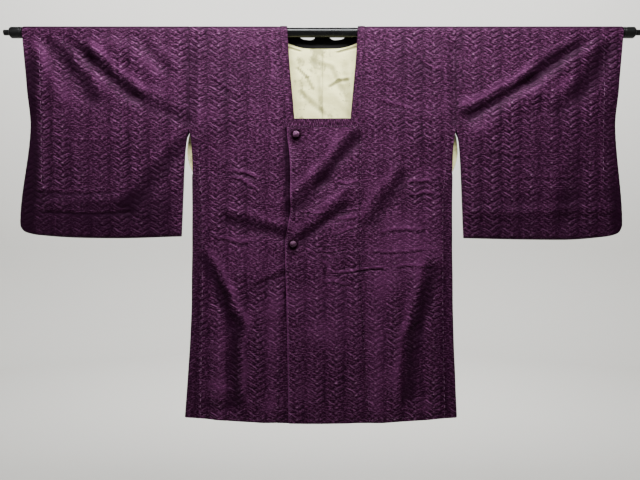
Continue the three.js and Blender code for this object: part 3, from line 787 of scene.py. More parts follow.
def weave_group():
    """Wickerwork figure of the silk: slats cross over and under by twos along both slants. Besides the
    height,
    it paints the light: a painted highlight on the upper edge of a slat that runs down to the right, stronger
    on every second one; a painted glint where the other, duller slats come up; and painted shade in the gap
    below each slat."""
    labels = ("Height", "Bright", "Knot glint", "Dark", "Bright slat", "Thread")
    group, ins, outs = new_group(
        "wickerwork weave", "ShaderNodeTree",
        {"Flat place": ("Vector",), "Repeat width": ("Float", 0.043), "Repeat height": ("Float", 0.0265)},
        {label: ("Float",) for label in labels},
    )
    place = ins.outputs["Flat place"]
    split = node(group, "ShaderNodeSeparateXYZ")
    feed(group, split.inputs[0], place)

    def do(operation, *values):
        return calc(group, operation, *values)

    def times(*values):
        return product(group, *values)

    def chosen(first, second):
        made = node(group, "ShaderNodeMix")
        for k, value in ((0, falling_on_top), (2, second), (3, first)):
            feed(group, made.inputs[k], value)
        return made.outputs[0]

    def hump(value, middle, width):
        away = do("DIVIDE", do("SUBTRACT", value, middle), width)
        return do("POWER", 2.718, times(away, away, -1.0))

    def rounded(value, power):
        return do("POWER", do("SINE", times(value, math.pi)), power)

    sway_x = do("MULTIPLY_ADD", noise(group, place, 42, 2.0), 0.16, -0.08)
    sway_y = do("MULTIPLY_ADD", noise(group, stretched(group, place, (1, 1.4, 1)), 57, 2.0), 0.26, -0.13)
    across = do("ADD", do("DIVIDE", split.outputs[0], ins.outputs["Repeat width"]), sway_x)
    along = do("ADD", do("DIVIDE", split.outputs[1], ins.outputs["Repeat height"]), sway_y)
    falling = times(do("ADD", across, along), 2.0)
    rising = times(do("SUBTRACT", across, along), 2.0)
    falling_cell, rising_cell = do("FLOOR", falling), do("FLOOR", rising)
    falling_part, rising_part = do("FRACT", falling), do("FRACT", rising)
    step = do("FLOORED_MODULO", do("ADD", falling_cell, rising_cell), 4.0)
    falling_on_top = do("LESS_THAN", step, 1.5)
    rising_on_top = do("SUBTRACT", 1.0, falling_on_top)
    from_below = chosen(falling_part, do("SUBTRACT", 1.0, rising_part))
    first_float = times(do("ADD", step, rising_part), 0.5)
    second_float = times(do("ADD", do("SUBTRACT", step, 2.0), falling_part), 0.5)
    float_part = chosen(first_float, second_float)
    round_float = rounded(float_part, 0.5)
    cell = node(group, "ShaderNodeCombineXYZ")
    feed(group, cell.inputs[0], falling_cell)
    feed(group, cell.inputs[1], rising_cell)
    luck = node(group, "ShaderNodeTexWhiteNoise", noise_dimensions="3D")
    feed(group, luck.inputs["Vector"], cell.outputs[0])
    chance = do("MULTIPLY_ADD", luck.outputs["Value"], 0.85, 0.15)
    strong = do("MULTIPLY_ADD", do("FLOORED_MODULO", falling_cell, 2.0), 0.6, 0.4)
    strong_rising = do("MULTIPLY_ADD", do("FLOORED_MODULO", rising_cell, 2.0), 0.6, 0.4)
    middle_of_float = ramp(group, round_float, 0.5, 0.95)
    edge_lines = do("ADD", hump(from_below, 0.80, 0.075), times(hump(from_below, 0.34, 0.06), 0.34))
    upper_edge = times(edge_lines, middle_of_float)
    bright = do("MAXIMUM", times(upper_edge, falling_on_top, strong), times(upper_edge, rising_on_top, 0.44))
    knot_glint = times(hump(from_below, 0.66, 0.12), hump(float_part, 0.24, 0.07), rising_on_top, strong)
    gap = times(hump(from_below, 0.08, 0.19), middle_of_float, do("MULTIPLY_ADD", rising_on_top, 0.5, 0.5))
    pit = do("MAXIMUM", hump(float_part, 0.96, 0.22), hump(float_part, 0.03, 0.12))
    pit = times(pit, hump(from_below, 0.30, 0.36), strong_rising)
    flank = times(hump(from_below, 0.57, 0.12), middle_of_float, strong, falling_on_top, 0.85)
    dark = do("MAXIMUM", do("MAXIMUM", gap, flank), pit)
    results = (
        times(rounded(from_below, 0.55), round_float),
        times(bright, chance),
        times(knot_glint, chance),
        times(dark, do("MULTIPLY_ADD", chance, 0.75, 0.7)),
        falling_on_top,
        noise(group, stretched(group, place, (500, 1500, 1)), 1.0, 2.0, 0.6),
    )
    for label, result in zip(labels, results):
        feed(group, outs.inputs[label], result)
    return group


WEAVE = weave_group()


def flat_place(tree):
    return node(tree, "ShaderNodeUVMap", uv_map="flat cloth").outputs[0]


def attribute(tree, name):
    return node(tree, "ShaderNodeAttribute", attribute_name=name).outputs["Fac"]


def woven(tree, place):
    weave = node(tree, "ShaderNodeGroup", node_tree=WEAVE)
    feed(tree, weave.inputs["Flat place"], place)
    return weave


def jacquard_material(name, deep, mid, lit, lit_ridge_colour, glint, relief):
    """Silk with the wickerwork figure over a fine grain, with painted shade in the folds and painted light on
    their ridges; the weave's edge highlights, glints and dark gaps are painted light and shade as well.
    """
    material, tree, shader = new_material(name)
    place = flat_place(tree)
    weave = woven(tree, place).outputs
    broad = ramp(tree, noise(tree, object_place(tree), 9.0, 3.0, 0.6), 0.38, 0.66, 0.45, 1.0)
    figure = product(tree, broad, attribute(tree, "relief"))
    grain = noise(tree, stretched(tree, place, (150, 440, 1)), 1.0, 4.0, 0.75)
    dull = product(tree, calc(tree, "SUBTRACT", 1.0, weave["Bright slat"]), 0.24)
    lit_ridge = calc(tree, "MAXIMUM", product(tree, attribute(tree, "shade"), -1.0), 0.0)
    sunk = product(tree, figure, calc(tree, "SUBTRACT", 1.0, product(tree, lit_ridge, 0.6)))
    bright = product(tree, weave["Bright"], calc(tree, "MULTIPLY_ADD", figure, 0.85, 0.25))
    knot_glint = product(tree, weave["Knot glint"], calc(tree, "MULTIPLY_ADD", figure, 0.45, 0.3))
    dark_fold = product(tree, calc(tree, "MAXIMUM", attribute(tree, "shade"), 0.0), 0.78)
    tone = mid
    # The grain and the duller slats are the silk's own tone; the rest below is painted light and shade
    for share, colour in (
        (ramp(tree, grain, 0.44, 0.57, 1.0, 0.0), deep),
        (ramp(tree, grain, 0.53, 0.64, 0.0, 0.74), lit),
        (product(tree, dull, figure), deep),
        (product(tree, weave["Dark"], sunk), deep),
        (bright, lit),
        (knot_glint, glint),
        (calc(tree, "MINIMUM", dark_fold, 0.92), deep),
        (product(tree, lit_ridge, 0.5), lit_ridge_colour),
    ):
        tone = blend_colour(tree, share, tone, colour)
    ribbed = calc(tree, "MULTIPLY_ADD", grain, 0.38, product(tree, weave["Height"], figure))
    finish(
        tree, shader, tone, calc(tree, "MULTIPLY_ADD", grain, 0.2, 0.42), bumped(tree, ribbed, relief),
        Specular_IOR_Level=0.12, Specular_Tint=srgb(240, 180, 230),
        Sheen_Weight=0.05, Sheen_Roughness=0.4, Sheen_Tint=srgb(190, 130, 175),
    )
    return material


def reverse_material(name, colour, shade):
    """The plain reverse of the silk, with the weave only just showing through."""
    material, tree, shader = new_material(name)
    weave = woven(tree, flat_place(tree)).outputs
    tone = blend_colour(tree, product(tree, weave["Height"], 0.4), shade, colour)
    tone = blend_colour(tree, product(tree, weave["Thread"], 0.25), tone, shade)
    rough = calc(tree, "MULTIPLY_ADD", weave["Thread"], 0.2, 0.6)
    finish(tree, shader, tone, rough, bumped(tree, weave["Height"], 0.0003), Sheen_Weight=0.2)
    return material


purple_silk = jacquard_material(
    "purple wickerwork silk", srgb(21, 3, 18), srgb(64, 24, 55), srgb(122, 73, 114),
    srgb(118, 58, 108), srgb(166, 120, 156), 0.0010,
)
silk_reverse = reverse_material("reverse of the purple silk", srgb(58, 24, 50), srgb(34, 12, 28))
silks = [purple_silk, silk_reverse]

for side, sign in (("left", 1), ("right", -1)):
    ends = body_rows(sign)
    share = edge_stations(USUAL_SPAN, ACROSS_STEP) / USUAL_SPAN
    x = between_rows(ends[:, 0], ends[:, 2], share)
    length = between_rows(ends[:, 1], ends[:, 3], share)
    width = ends[:, 2:3] - ends[:, :1]
    from_inner, from_outer = share * width, (1 - share) * width
    drop = np.abs(length) - QUARTER_TURN
    slit = (drop > ARMHOLE_DROP) & (drop < SLIT_END_DROP)
    seam_away = np.minimum(from_inner, np.where(slit, FAR, from_outer))
    free_away = np.minimum(np.where(slit, from_outer, FAR), HEM_DROP - drop)
    shadow = edge_shadow(sign * x, drop) * (length < 0) * (sign < 0) + crown_shade(np.abs(length))
    half = body_panel(f"silk_body_{side}", sign * x, length, seam_away, free_away, 0.0, SILK, silks, shadow)
    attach(half, "root")
    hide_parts(f"body_{side}")


# The sleeves are each one length of the same silk, folded at the shoulder into a flat tube. They are
# sewn along the bottom and up the cuff to the hand opening, and left open under the arm.
SLEEVE_DEPTH = np.array([(0, FOLD_RADIUS), (200, 11.5), (330, 9.0), (460, 6.0)])
SLEEVE_BOTTOM = np.array([
    (0, 455.5, 451.5),
    (0.4, 458.5, 455.5),
    (0.62, 459, 454.5),
    (0.89, 452, 448),
    (0.962, 446, 442),
    (0.988, 438, 435),
    (1, 425, 424),
])
CUFF = np.array([(0, 662, 661), (198, 649, 647), (424, 664.5, 670), (470, 664.5, 670)])
UNDERARM_EDGE = np.array([
    (0, 294, 294),
    (209, 294, 294),
    (235, 299, 303),
    (262, 302, 306),
    (300, 305, 308),
    (470, 312, 314),
])
CUFF_HALF_GAP = 1.1
HAND_OPENING = (128, 206)
CUFF_CLOSES = (0.76, 1.0)
CUFF_SEAM_DROP = 198
SLEEVE_WIDTH = 366.0
SLEEVE_LENGTH = 450.0
SLEEVE_STEP = 3.6
BOTTOM_STEPS = 8
CROWN_STEPS = 20


def sleeve_half_depth(drop, across):
    plain = curve_through(SLEEVE_DEPTH, drop)
    closing = smooth_step(drop, *HAND_OPENING) * smooth_step(across, *CUFF_CLOSES)
    return plain + (CUFF_HALF_GAP - plain) * closing


for side, sign in (("left", 1), ("right", -1)):
    column = 1 if sign > 0 else 2
    across = edge_stations(SLEEVE_WIDTH, SLEEVE_STEP) / SLEEVE_WIDTH
    bottom = curve_through(SLEEVE_BOTTOM, across, column)
    turn_radius = sleeve_half_depth(bottom, across)
    straight = bottom - turn_radius
    shares = edge_stations(SLEEVE_LENGTH, SLEEVE_STEP)[4:-4]
    shares = (shares - shares[0]) / (shares[-1] - shares[0])
    rows, flats, shades = [], [], []

    def sleeve_x(drop, way):
        inner = curve_through(UNDERARM_EDGE, drop, 1 if way < 0 else 2) + SEAM_EDGE
        return sign * (inner + (curve_through(CUFF, drop, column) - inner) * across)

    def add_row(x, y, z, run, shade):
        rows.append(np.stack([x, y + 0 * x, z + 0 * x], -1))
        flats.append(np.stack([x, -run + 0 * x], -1))
        shades.append(shade + 0 * x)

    def sleeve_face(part, way, start):
        drop = part * straight
        x = sleeve_x(drop, way)
        plain = sleeve_half_depth(drop, across)
        calm = (1 - smooth_step(across, 0.9, 0.985)) * smooth_step(straight - drop, 0, 36)
        height = cloth_height(np.full_like(x, way), x, drop) * calm
        half = np.maximum(plain + height, np.minimum(plain, LEAST_HALF_GAP))
        add_row(x, way * half, -drop, start - way * drop, cloth_shade(way, x, drop))

    for part in shares:
        sleeve_face(part, -1, 0.0)
    for k in range(1, BOTTOM_STEPS):
        angle = math.pi * k / BOTTOM_STEPS
        drop = straight + turn_radius * math.sin(angle)
        x = sleeve_x(drop, -1 if k < BOTTOM_STEPS / 2 else 1)
        add_row(x, -turn_radius * math.cos(angle), -drop, straight + turn_radius * angle, 0.0)
    for part in shares[::-1]:
        sleeve_face(part, 1, 2 * SLEEVE_LENGTH)
    for k in range(1, CROWN_STEPS):
        angle = math.pi * k / CROWN_STEPS
        y, z = FOLD_RADIUS * math.cos(angle), FOLD_RADIUS * math.sin(angle)
        shade = crown_shade(FOLD_RADIUS * abs(angle - math.pi / 2))
        add_row(sleeve_x(0 * across, 1), y, z, 2 * SLEEVE_LENGTH + FOLD_RADIUS * angle, shade)
    last_run = 2 * SLEEVE_LENGTH + FOLD_RADIUS * math.pi
    flats.append(np.stack([sleeve_x(0 * across, -1), 0 * across - last_run], -1))
    middle, flat = np.array(rows), np.array(flats)
    along_ring = np.roll(middle, -1, axis=0) - np.roll(middle, 1, axis=0)
    out = np.cross(along_ring, np.gradient(middle, axis=1)) * sign
    out /= np.linalg.norm(out, axis=-1, keepdims=True)
    from_body = np.broadcast_to(SLEEVE_WIDTH * across, middle.shape[:2])
    from_cuff = SLEEVE_WIDTH - from_body
    drop = -middle[..., 2]
    seam_away = np.where(drop < ARMHOLE_DROP, from_body, FAR)
    seam_away = np.minimum(seam_away, np.where(drop > CUFF_SEAM_DROP, from_cuff, FAR))
    shade = np.array(shades) + seam_shade(seam_away)
    shade = shade + (0.60 if sign < 0 else 0.40) * smooth_step(drop, 330, 375) * smooth_step(from_body, 0, 40)
    shade = shade + 0.6 * smooth_step(from_body, 322, 350) * smooth_step(drop, 50, 120)
    shade = shade + 0.16 * smooth_step(drop, 150, 300)
    sleeve = cloth_shell(
        f"silk_sleeve_{side}", middle, out, seam_pucker(drop, seam_away),
        half_thickness(np.minimum(from_body, from_cuff), SILK), flat, shade, 1.0, silks, ring=True,
    )
    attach(sleeve, "root")
    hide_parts(f"sleeve_{side}")


# The gussets are narrow strips of the silk, let in between front and back from the underarm slit to
# the hem. Hung flat, each folds outward down its middle.
GUSSET_TOP = 314.0
GUSSET_STEP = 4.0
GUSSET_FLAT = 17.0
GUSSET_TURNS = np.linspace(-0.5, 0.5, 13) * math.pi

for side, sign in (("left", 1), ("right", -1)):
    drops = (HEM_DROP - edge_stations(HEM_DROP - GUSSET_TOP, GUSSET_STEP))[::-1]
    flat_shares = np.clip(edge_stations(GUSSET_FLAT + 3.0, 3.0)[:-4] / GUSSET_FLAT, 0, 1)
    rows, flats = [], []
    for drop in drops:
        centre_x = curve_through(SIDES, drop, FOLD_COLUMN[sign]) - SIDE_HALF_GAP
        front_x, back_x = (
            curve_through(SIDES, drop, k) + SEAM_EDGE for k in (SEAM_COLUMN[sign], BACK_COLUMN))
        sway = 0.8 * np.sin(drop / 41.0) + 0.5 * np.sin(drop / 17.0 + 1)
        front_line, back_line = (
            seam_x + (max(centre_x, seam_x + 1) - seam_x) * flat_shares for seam_x in (front_x, back_x))
        front_line, back_line = front_line[:-1], back_line[-2::-1]
        fold_line = centre_x + (SIDE_HALF_GAP + 0.3 * sway) * np.cos(GUSSET_TURNS)
        x = np.concatenate([front_line, np.maximum(fold_line, front_x + 0.6), back_line])
        y = np.concatenate([
            -body_half_depth(front_line, drop), SIDE_HALF_GAP * np.sin(GUSSET_TURNS),
            body_half_depth(back_line, drop)])
        z = QUARTER_TURN - np.abs(hem_lifted(x, np.full_like(x, front_length(drop))))
        rows.append(np.stack([sign * x, y, z], -1))
        flats.append(np.stack([np.insert(np.cumsum(np.hypot(np.diff(x), np.diff(y))), 0, 0), z], -1))
    middle, flat = np.array(rows), np.array(flats)
    out = np.cross(np.gradient(middle, axis=1), np.gradient(middle, axis=0)) * sign
    out /= np.linalg.norm(out, axis=-1, keepdims=True)
    if (out[len(out) // 2, middle.shape[1] // 2, 0]) * sign < 0:
        out = -out
    from_seam = np.minimum(flat[..., 0], flat[..., 0].max(axis=1, keepdims=True) - flat[..., 0])
    half = half_thickness(np.minimum(from_seam, (HEM_DROP - drops)[:, None]), SILK)
    pucker = seam_pucker(middle[..., 2], from_seam)
    # The gussets carry an even painted shade all over
    gusset = cloth_shell(f"silk_gusset_{side}", middle, out, pucker, half, flat, 0.42, 0.8, silks)
    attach(gusset, "root")
    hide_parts(f"side_gusset_{side}")


# The shoulder lining is cream plain-weave silk inside the back, felled to it round the neck, with its
# own centre seam. It has soft wrinkles, darkened with painted shade, and faint greenish age marks.
LINING = 0.7
LINING_LIFT = -(CAD_WALL / 2 + 0.3 + 0.5)
LINING_HEM = 400.0
LINING_WIDTH = 292.0
LINING_STEP = 4.2
LINING_WRINKLES = np.array([
    (-82, 27, -50, 37, 2.6, -2.6),
    (34, 40, 76, 28, 2.6, -2.6),
    (-54, 76, -34, 96, 3.2, -3.4),
    (-34, 96, -20, 122, 3.0, -2.6),
    (-44, 132, 6, 176, 6, -1.8),
    (-62, 60, -40, 190, 8, 1.2),
    (16, 116, 36, 103, 3.0, -3.2),
    (36, 103, 56, 101, 3.2, -2.6),
    (22, 130, 58, 172, 8, 1.5),
    (52, 70, 62, 180, 8, -1.2),
    (-20, 60, 20, 74, 6, -1.4),
    (-8, 100, -2, 170, 5, -1.4),
    (24, 80, 44, 124, 6, -1.6),
    (-30, 176, 30, 190, 8, 1.0),
    (-120, 90, -80, 200, 12, 1.4),
    (130, 80, 96, 210, 12, 1.4),
])


def lining_material(name, cream, shade, stain_and_wrinkle_shade):
    material, tree, shader = new_material(name)
    place, where = flat_place(tree), object_place(tree)
    threads = []
    for direction, scale in (("X", 420.0), ("Y", 380.0)):
        wave = node(tree, "ShaderNodeTexWave", wave_type="BANDS", bands_direction=direction)
        for label, value in (("Vector", place), ("Scale", scale), ("Distortion", 1.5)):
            feed(tree, wave.inputs[label], value)
        threads.append(wave.outputs["Fac"])
    slub = noise(tree, stretched(tree, place, (30, 700, 1)), 1.0, 2.0)
    marks = noise(tree, stretched(tree, where, (1.0, 1.0, 0.8)), 34.0, 4.0, 0.62)
    spots = noise(tree, where, 110.0, 2.0, 0.5)
    # Painted shade in the wrinkles, laid on in the same greenish colour as the age marks
    wrinkles = product(tree, calc(tree, "MAXIMUM", attribute(tree, "shade"), 0.0), 0.95)
    tone = blend_colour(tree, ramp(tree, slub, 0.45, 0.75, 0.0, 0.14), cream, shade)
    for share in (
        ramp(tree, marks, 0.54, 0.68, 0.0, 0.72),
        ramp(tree, spots, 0.66, 0.74, 0.0, 0.6),
        calc(tree, "MINIMUM", wrinkles, 1.0),
    ):
        tone = blend_colour(tree, share, tone, stain_and_wrinkle_shade)
    fine = bumped(tree, calc(tree, "ADD", *threads), 0.00008)
    normal = bumped(tree, noise(tree, place, 60, 3.0), 0.0012, 1.0, fine)
    finish(tree, shader, tone, calc(tree, "MULTIPLY_ADD", slub, 0.18, 0.42), normal, Sheen_Weight=0.2)
    return material


cream_silk = lining_material(
    "cream lining silk", srgb(254, 250, 176), srgb(236, 229, 144), srgb(134, 132, 78))

for side, sign in (("left", 1), ("right", -1)):
    ends = body_rows(sign)
    ends = ends[(ends[:, 3] > QUARTER_TURN + 1) & (ends[:, 1] <= back_length(LINING_HEM))]
    share = edge_stations(LINING_WIDTH, LINING_STEP) / LINING_WIDTH
    x = between_rows(ends[:, 0], ends[:, 2] - 0.6, share)
    length = between_rows(ends[:, 1], ends[:, 3], share)
    width = ends[:, 2:3] - ends[:, :1]
    from_centre = share * width
    rim = np.minimum(from_centre, (1 - share) * width)
    drop = np.abs(length) - QUARTER_TURN
    rise, wrinkle_shade = folds_at(LINING_WRINKLES, sign * x, drop)
    rise = (rise + 0.6 * soft_noise(x, drop, 38, 11 + sign)) * smooth_step(rim, 0, 9)
    gap = np.maximum(body_half_depth(x, drop) - 6.5, 0.0)
    lift = LINING_LIFT - np.clip(0.9 + rise, 0.0, gap)
    own_shade = wrinkle_shade * 1.6 - cloth_shade(1, sign * x, drop)
    lining = body_panel(
        f"cream_lining_{side}", sign * x, length, from_centre, rim, lift, LINING, [cream_silk], own_shade
    )
    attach(lining, "root")
    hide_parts(f"back_lining_{side}")


# The overlaps are doubled strips of the silk on the front edges. The left one lies over the right
# one, and its free edge stands a little away between the buttons.
OVERLAP_LIFT = CAD_WALL + 1.3
OVERLAP_WALL = SILK + 0.3
OVERLAP_WIDTH = 156.0
UNDER_EDGE = np.array([(212, 76), (863, 74)])
BUTTONS = (("upper", -58.0, 228.0), ("lower", -65.0, 469.0))


def top_lift(x):
    return OVERLAP_LIFT * (1 - smooth_step(x, 48, 80))


def under_lift(x):
    return -OVERLAP_LIFT * smooth_step(x, 30, 58)


def edge_lift(drops, from_free):
    """How far the free edge of the top overlap stands away, most of all between the buttons."""
    gape = smooth_step(drops, 240, 300) * (1 - smooth_step(drops, 380, 440))
    return 5.2 * gape * ridge(from_free, 18) + 0.5 * ridge(from_free, 4)


for side, sign, free_edge, row_step in (("left", 1, TOP_EDGE, 1.6), ("right", -1, UNDER_EDGE, 4.0)):
    drops = (HEM_DROP - edge_stations(HEM_DROP - OVERLAP_TOP, row_step))[::-1]
    seam_x = sign * (curve_through(FRONT_SEAM, drops) - SEAM_EDGE)
    free_x = curve_through(free_edge, drops)
    share = edge_stations(OVERLAP_WIDTH, 3.0) / OVERLAP_WIDTH
    low, high = np.minimum(seam_x, free_x), np.maximum(seam_x, free_x)
    x = between_rows(low, high, share)
    across = (high - low)[:, None]
    drop = drops[:, None] + 0 * x
    length = front_length(drop)
    if sign > 0:
        from_seam, from_free = (1 - share) * across, share * across
        length = length + 2.2 * share * np.clip(1 - (drop - OVERLAP_TOP) / 30, 0, 1)
        lift = top_lift(x) + edge_lift(drop, from_free)
        # Painted highlight along the free edge, and painted shade round each button
        edge_shade = -1.0 * ridge(from_free, 2.0)
        for _, button_x, button_drop in BUTTONS:
            edge_shade = edge_shade + 1.4 * ridge(np.hypot(x - button_x, drop - button_drop), 12.0, 4)
    else:
        from_seam, from_free = share * across, (1 - share) * across
        lift = under_lift(x)
        edge_shade = edge_shadow(x, drop)
    seam_away = np.minimum(from_seam, drop - OVERLAP_TOP)
    free_away = np.minimum(from_free, HEM_DROP - drop)
    overlap = body_panel(
        f"silk_overlap_{side}", x, length, seam_away, free_away, lift, OVERLAP_WALL, silks, edge_shade
    )
    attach(overlap, "root")
    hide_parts(f"front_overlap_{side}")


# The neck band is a narrow folded strip of the silk round the neck. Its corners at the front are
# mitred, and its level part lies across the top of the left overlap.
BAND_WIDTH = 16.5
BAND_WALL = 2.0
BAND_LIFT = 0.3
BAND_CROWN = 0.45
BAND_PLACES = edge_stations(BAND_WIDTH, 2.0)
MITRE_FROM = 176.0
MITRE_INNER = 196.0
FRONT_BAND_LENGTH = 140.0

# Inner edge of the band behind the crown, from the shoulder to the centre: distance, drop
BACK_BAND_INNER = np.array([
    (77.5, 0), (75.5, 1.5), (70, 3), (61, 4), (52, 7), (40, 12), (26, 13), (13, 6.5), (4, 5), (0, 5)])

# Ends of the level part's inner edge and seam edge: x, drop, x, drop
FRONT_BAND_INNER = (-65.5, 193.0, 68.0, 193.0)
FRONT_BAND_SEAM = (-85.5, 213.2, 87.5, 211.2)


def band_half():
    """The band's inner and seam edges from its front corner to the centre back, at the wearer's left."""
    front = beside_neck(70)
    seam_x = neck_seam_x(front) - SEAM_EDGE
    mitre_from, mitre_seam, mitre_inner = (
        front_length(drop) for drop in (MITRE_FROM, NECK_CORNER_DROP, MITRE_INNER))
    mitred = mitre_from + (front - mitre_from) / (mitre_seam - mitre_from) * (mitre_inner - mitre_from)
    inner_length = np.where(front < mitre_from, mitred, front)
    wider = 3.6 * smooth_step(-front, QUARTER_TURN + 40, QUARTER_TURN + 190)
    last = len(BACK_NECK) - 1
    fine = np.linspace(0, last, 8 * last + 1)[1:]
    back_seam_x, back_seam = (
        curve_through(np.column_stack([np.arange(last + 1), BACK_NECK]), fine, k) - SEAM_EDGE for k in (1, 2))
    inner_keys = np.linspace(0, last, len(BACK_BAND_INNER))
    back_inner_x, back_inner = (
        curve_through(np.column_stack([inner_keys, BACK_BAND_INNER]), fine, k) for k in (1, 2))
    inner = (seam_x - BAND_WIDTH - wider, inner_length, back_inner_x, back_length(back_inner))
    seam = (seam_x, front, np.maximum(back_seam_x, 0), back_length(back_seam))
    return (
        np.concatenate([np.stack([front_x, front_run], -1), np.stack([back_x, back_run], -1)])
        for front_x, front_run, back_x, back_run in (inner, seam)
    )


def band_shade(across):
    return 0.55 * ridge(across, 2.2) + 0.4 * ridge(BAND_WIDTH - across, 1.6)


def strip_shell(name, x, length, across, end_away, raised, wall, flat, shade, relief, silk):
    """A narrow strip that lies on the body's form, rounded over at its two edges and its ends."""
    rim = np.minimum(np.minimum(across, BAND_WIDTH - across), end_away)
    place, out, half = body_form(x, length), body_outward(x, length), half_thickness(rim, wall)
    return cloth_shell(name, place, out, raised, half, flat, shade, relief, [silk])


def end_rows(count, step):
    """Distance of each row of a strip from its nearer end."""
    rows = np.arange(count)
    return np.minimum(rows, rows[::-1])[:, None] * step


inner_edge, seam_edge = (np.concatenate([edge, edge[-2::-1] * (-1, 1)]) for edge in band_half())
places = between_rows(inner_edge, seam_edge, BAND_PLACES[:, None] / BAND_WIDTH)
x, length = places[..., 0], places[..., 1]
across = np.broadcast_to(BAND_PLACES, x.shape)
arch = BAND_CROWN * np.sin(np.clip(across / BAND_WIDTH, 0, 1) * math.pi)
ripple = 0.16 * np.sin(np.arange(len(x)) * 0.9)[:, None] * ridge(BAND_WIDTH - across, 5)
middle_line = body_form(x[:, 2], length[:, 2])
run = np.insert(np.cumsum(np.linalg.norm(np.diff(middle_line, axis=0), axis=-1)), 0, 0)
band = strip_shell(
    "silk_neck_band", x, length, across, end_rows(len(x), 1.2), BAND_LIFT + arch + ripple, BAND_WALL,
    np.stack([across, np.broadcast_to(run[:, None], across.shape)], -1),
    band_shade(across) + crown_shade(np.abs(length)), 0.35, purple_silk,
)
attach(band, "root")
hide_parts("neck_band")

along = edge_stations(FRONT_BAND_LENGTH, 3.0) / FRONT_BAND_LENGTH
upper, lower = (
    np.stack([x1 + (x2 - x1) * along, front_length(drop1 + (drop2 - drop1) * along)], -1)
    for x1, drop1, x2, drop2 in (FRONT_BAND_INNER, FRONT_BAND_SEAM)
)
share = (BAND_PLACES / BAND_WIDTH)[:, None, None]
x, length = np.moveaxis(upper + (lower - upper) * share, -1, 0)
across = np.broadcast_to(BAND_PLACES[:, None], x.shape)
end_away = np.minimum(along, 1 - along) * FRONT_BAND_LENGTH
arch = BAND_CROWN * np.sin(across / BAND_WIDTH * math.pi)
ripple = 0.12 * np.sin(x / 3.1) * ridge(BAND_WIDTH - across, 4)
front_band = strip_shell(
    "silk_neck_band_front", x, length, across, end_away, top_lift(x) + BAND_LIFT + arch + ripple, BAND_WALL,
    np.stack([across, x], -1), band_shade(across), 0.35, purple_silk,
)
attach(front_band, "root")
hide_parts("neck_band_front")


# The facing is a strip of black satin, folded in at its edges and felled inside the back of the
# neck band. It is left bare.
FACING_WALL = 0.7


def satin_material(name, colour, lit):
    material, tree, shader = new_material(name)
    fine = noise(tree, stretched(tree, flat_place(tree), (900, 90, 1)), 1.0, 3.0, 0.6)
    tone = blend_colour(tree, ramp(tree, fine, 0.4, 0.8, 0.0, 0.5), colour, lit)
    rough = calc(tree, "MULTIPLY_ADD", fine, 0.25, 0.32)
    finish(tree, shader, tone, rough, bumped(tree, fine, 0.00012), Specular_IOR_Level=0.15)
    return material


black_satin = satin_material("black facing satin", srgb(6, 5, 6), srgb(17, 16, 18))
behind = seam_edge[:, 1] > QUARTER_TURN + 1
places = between_rows(inner_edge[behind], seam_edge[behind], BAND_PLACES[:, None] / BAND_WIDTH)
x, length = places[..., 0], places[..., 1]
across = np.broadcast_to(BAND_PLACES, x.shape)
raised = LINING_LIFT - 0.25 * np.sin(across / BAND_WIDTH * math.pi)
facing = strip_shell(
    "black_neck_facing", x, length, across, end_rows(len(x), 2.0), raised, FACING_WALL,
    np.stack([x, across], -1), 0.0, 1.0, black_satin,
)
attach(facing, "root")
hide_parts("back_neck_facing")


# The buttons are ball moulds covered in the same silk, gathered at the back and sewn to the left
# overlap on a short thread shank with a rolled silk ring round its foot. The ring's near-black colour
# is painted shade round the ball.
BUTTON_RADIUS = 7.0
BUTTON_HALF_HEIGHT = 6.4
BUTTON_CENTRE = 7.0
BALL_SIDES = 48
BALL_RINGS = 22
RING_RADIUS = 9.2
RING_STEPS = 40
CORD_RADIUS = 1.6
CORD_SIDES = 10


def covered_ball(name, foot, outward):
    """A slightly flattened ball with gathers round its foot, closed at both poles, on its ring."""
    out = np.array(outward)
    side = np.cross((0, 0, 1.0), out)
    side /= np.linalg.norm(side)
    up = np.cross(out, side)
    points, quads, triangles = [], [], []

    def place(radius, angle, height):
        return tuple((foot + out * height + (side * math.cos(angle) + up * math.sin(angle)) * radius) * MM)

    points.append(place(0, 0, BUTTON_CENTRE - BUTTON_HALF_HEIGHT))
    for k in range(1, BALL_RINGS):
        tilt = math.pi * (k / BALL_RINGS - 0.5)
        for j in range(BALL_SIDES):
            angle = 2 * math.pi * j / BALL_SIDES
            gather = 0.35 * math.sin(angle * 11 + 0.7) * max(0.0, -math.sin(tilt)) ** 1.5
            dent = 0.12 * math.sin(angle * 3 + 1.1) * math.cos(tilt) + 0.08 * math.sin(angle * 5)
            radius = (BUTTON_RADIUS + gather + dent) * math.cos(tilt)
            points.append(place(radius, angle, BUTTON_CENTRE + BUTTON_HALF_HEIGHT * math.sin(tilt)))
    points.append(place(0, 0, BUTTON_CENTRE + BUTTON_HALF_HEIGHT))
    last = 1 + (BALL_RINGS - 2) * BALL_SIDES
    for j in range(BALL_SIDES):
        after = (j + 1) % BALL_SIDES
        triangles += [(0, 1 + after, 1 + j), (len(points) - 1, last + j, last + after)]
        for k in range(BALL_RINGS - 2):
            low = 1 + k * BALL_SIDES
            quads.append((low + j, low + after, low + BALL_SIDES + after, low + BALL_SIDES + j))
    start = len(points)
    for k in range(RING_STEPS):
        for j in range(CORD_SIDES):
            angle = 2 * math.pi * j / CORD_SIDES
            radius = RING_RADIUS + CORD_RADIUS * math.cos(angle)
            height = 0.2 + CORD_RADIUS + CORD_RADIUS * math.sin(angle)
            points.append(place(radius, 2 * math.pi * k / RING_STEPS, height))
            low, high = start + k * CORD_SIDES, start + (k + 1) % RING_STEPS * CORD_SIDES
            after = (j + 1) % CORD_SIDES
            quads.append((low + j, high + j, high + after, low + after))
    return new_mesh(name, points, triangles, quads)


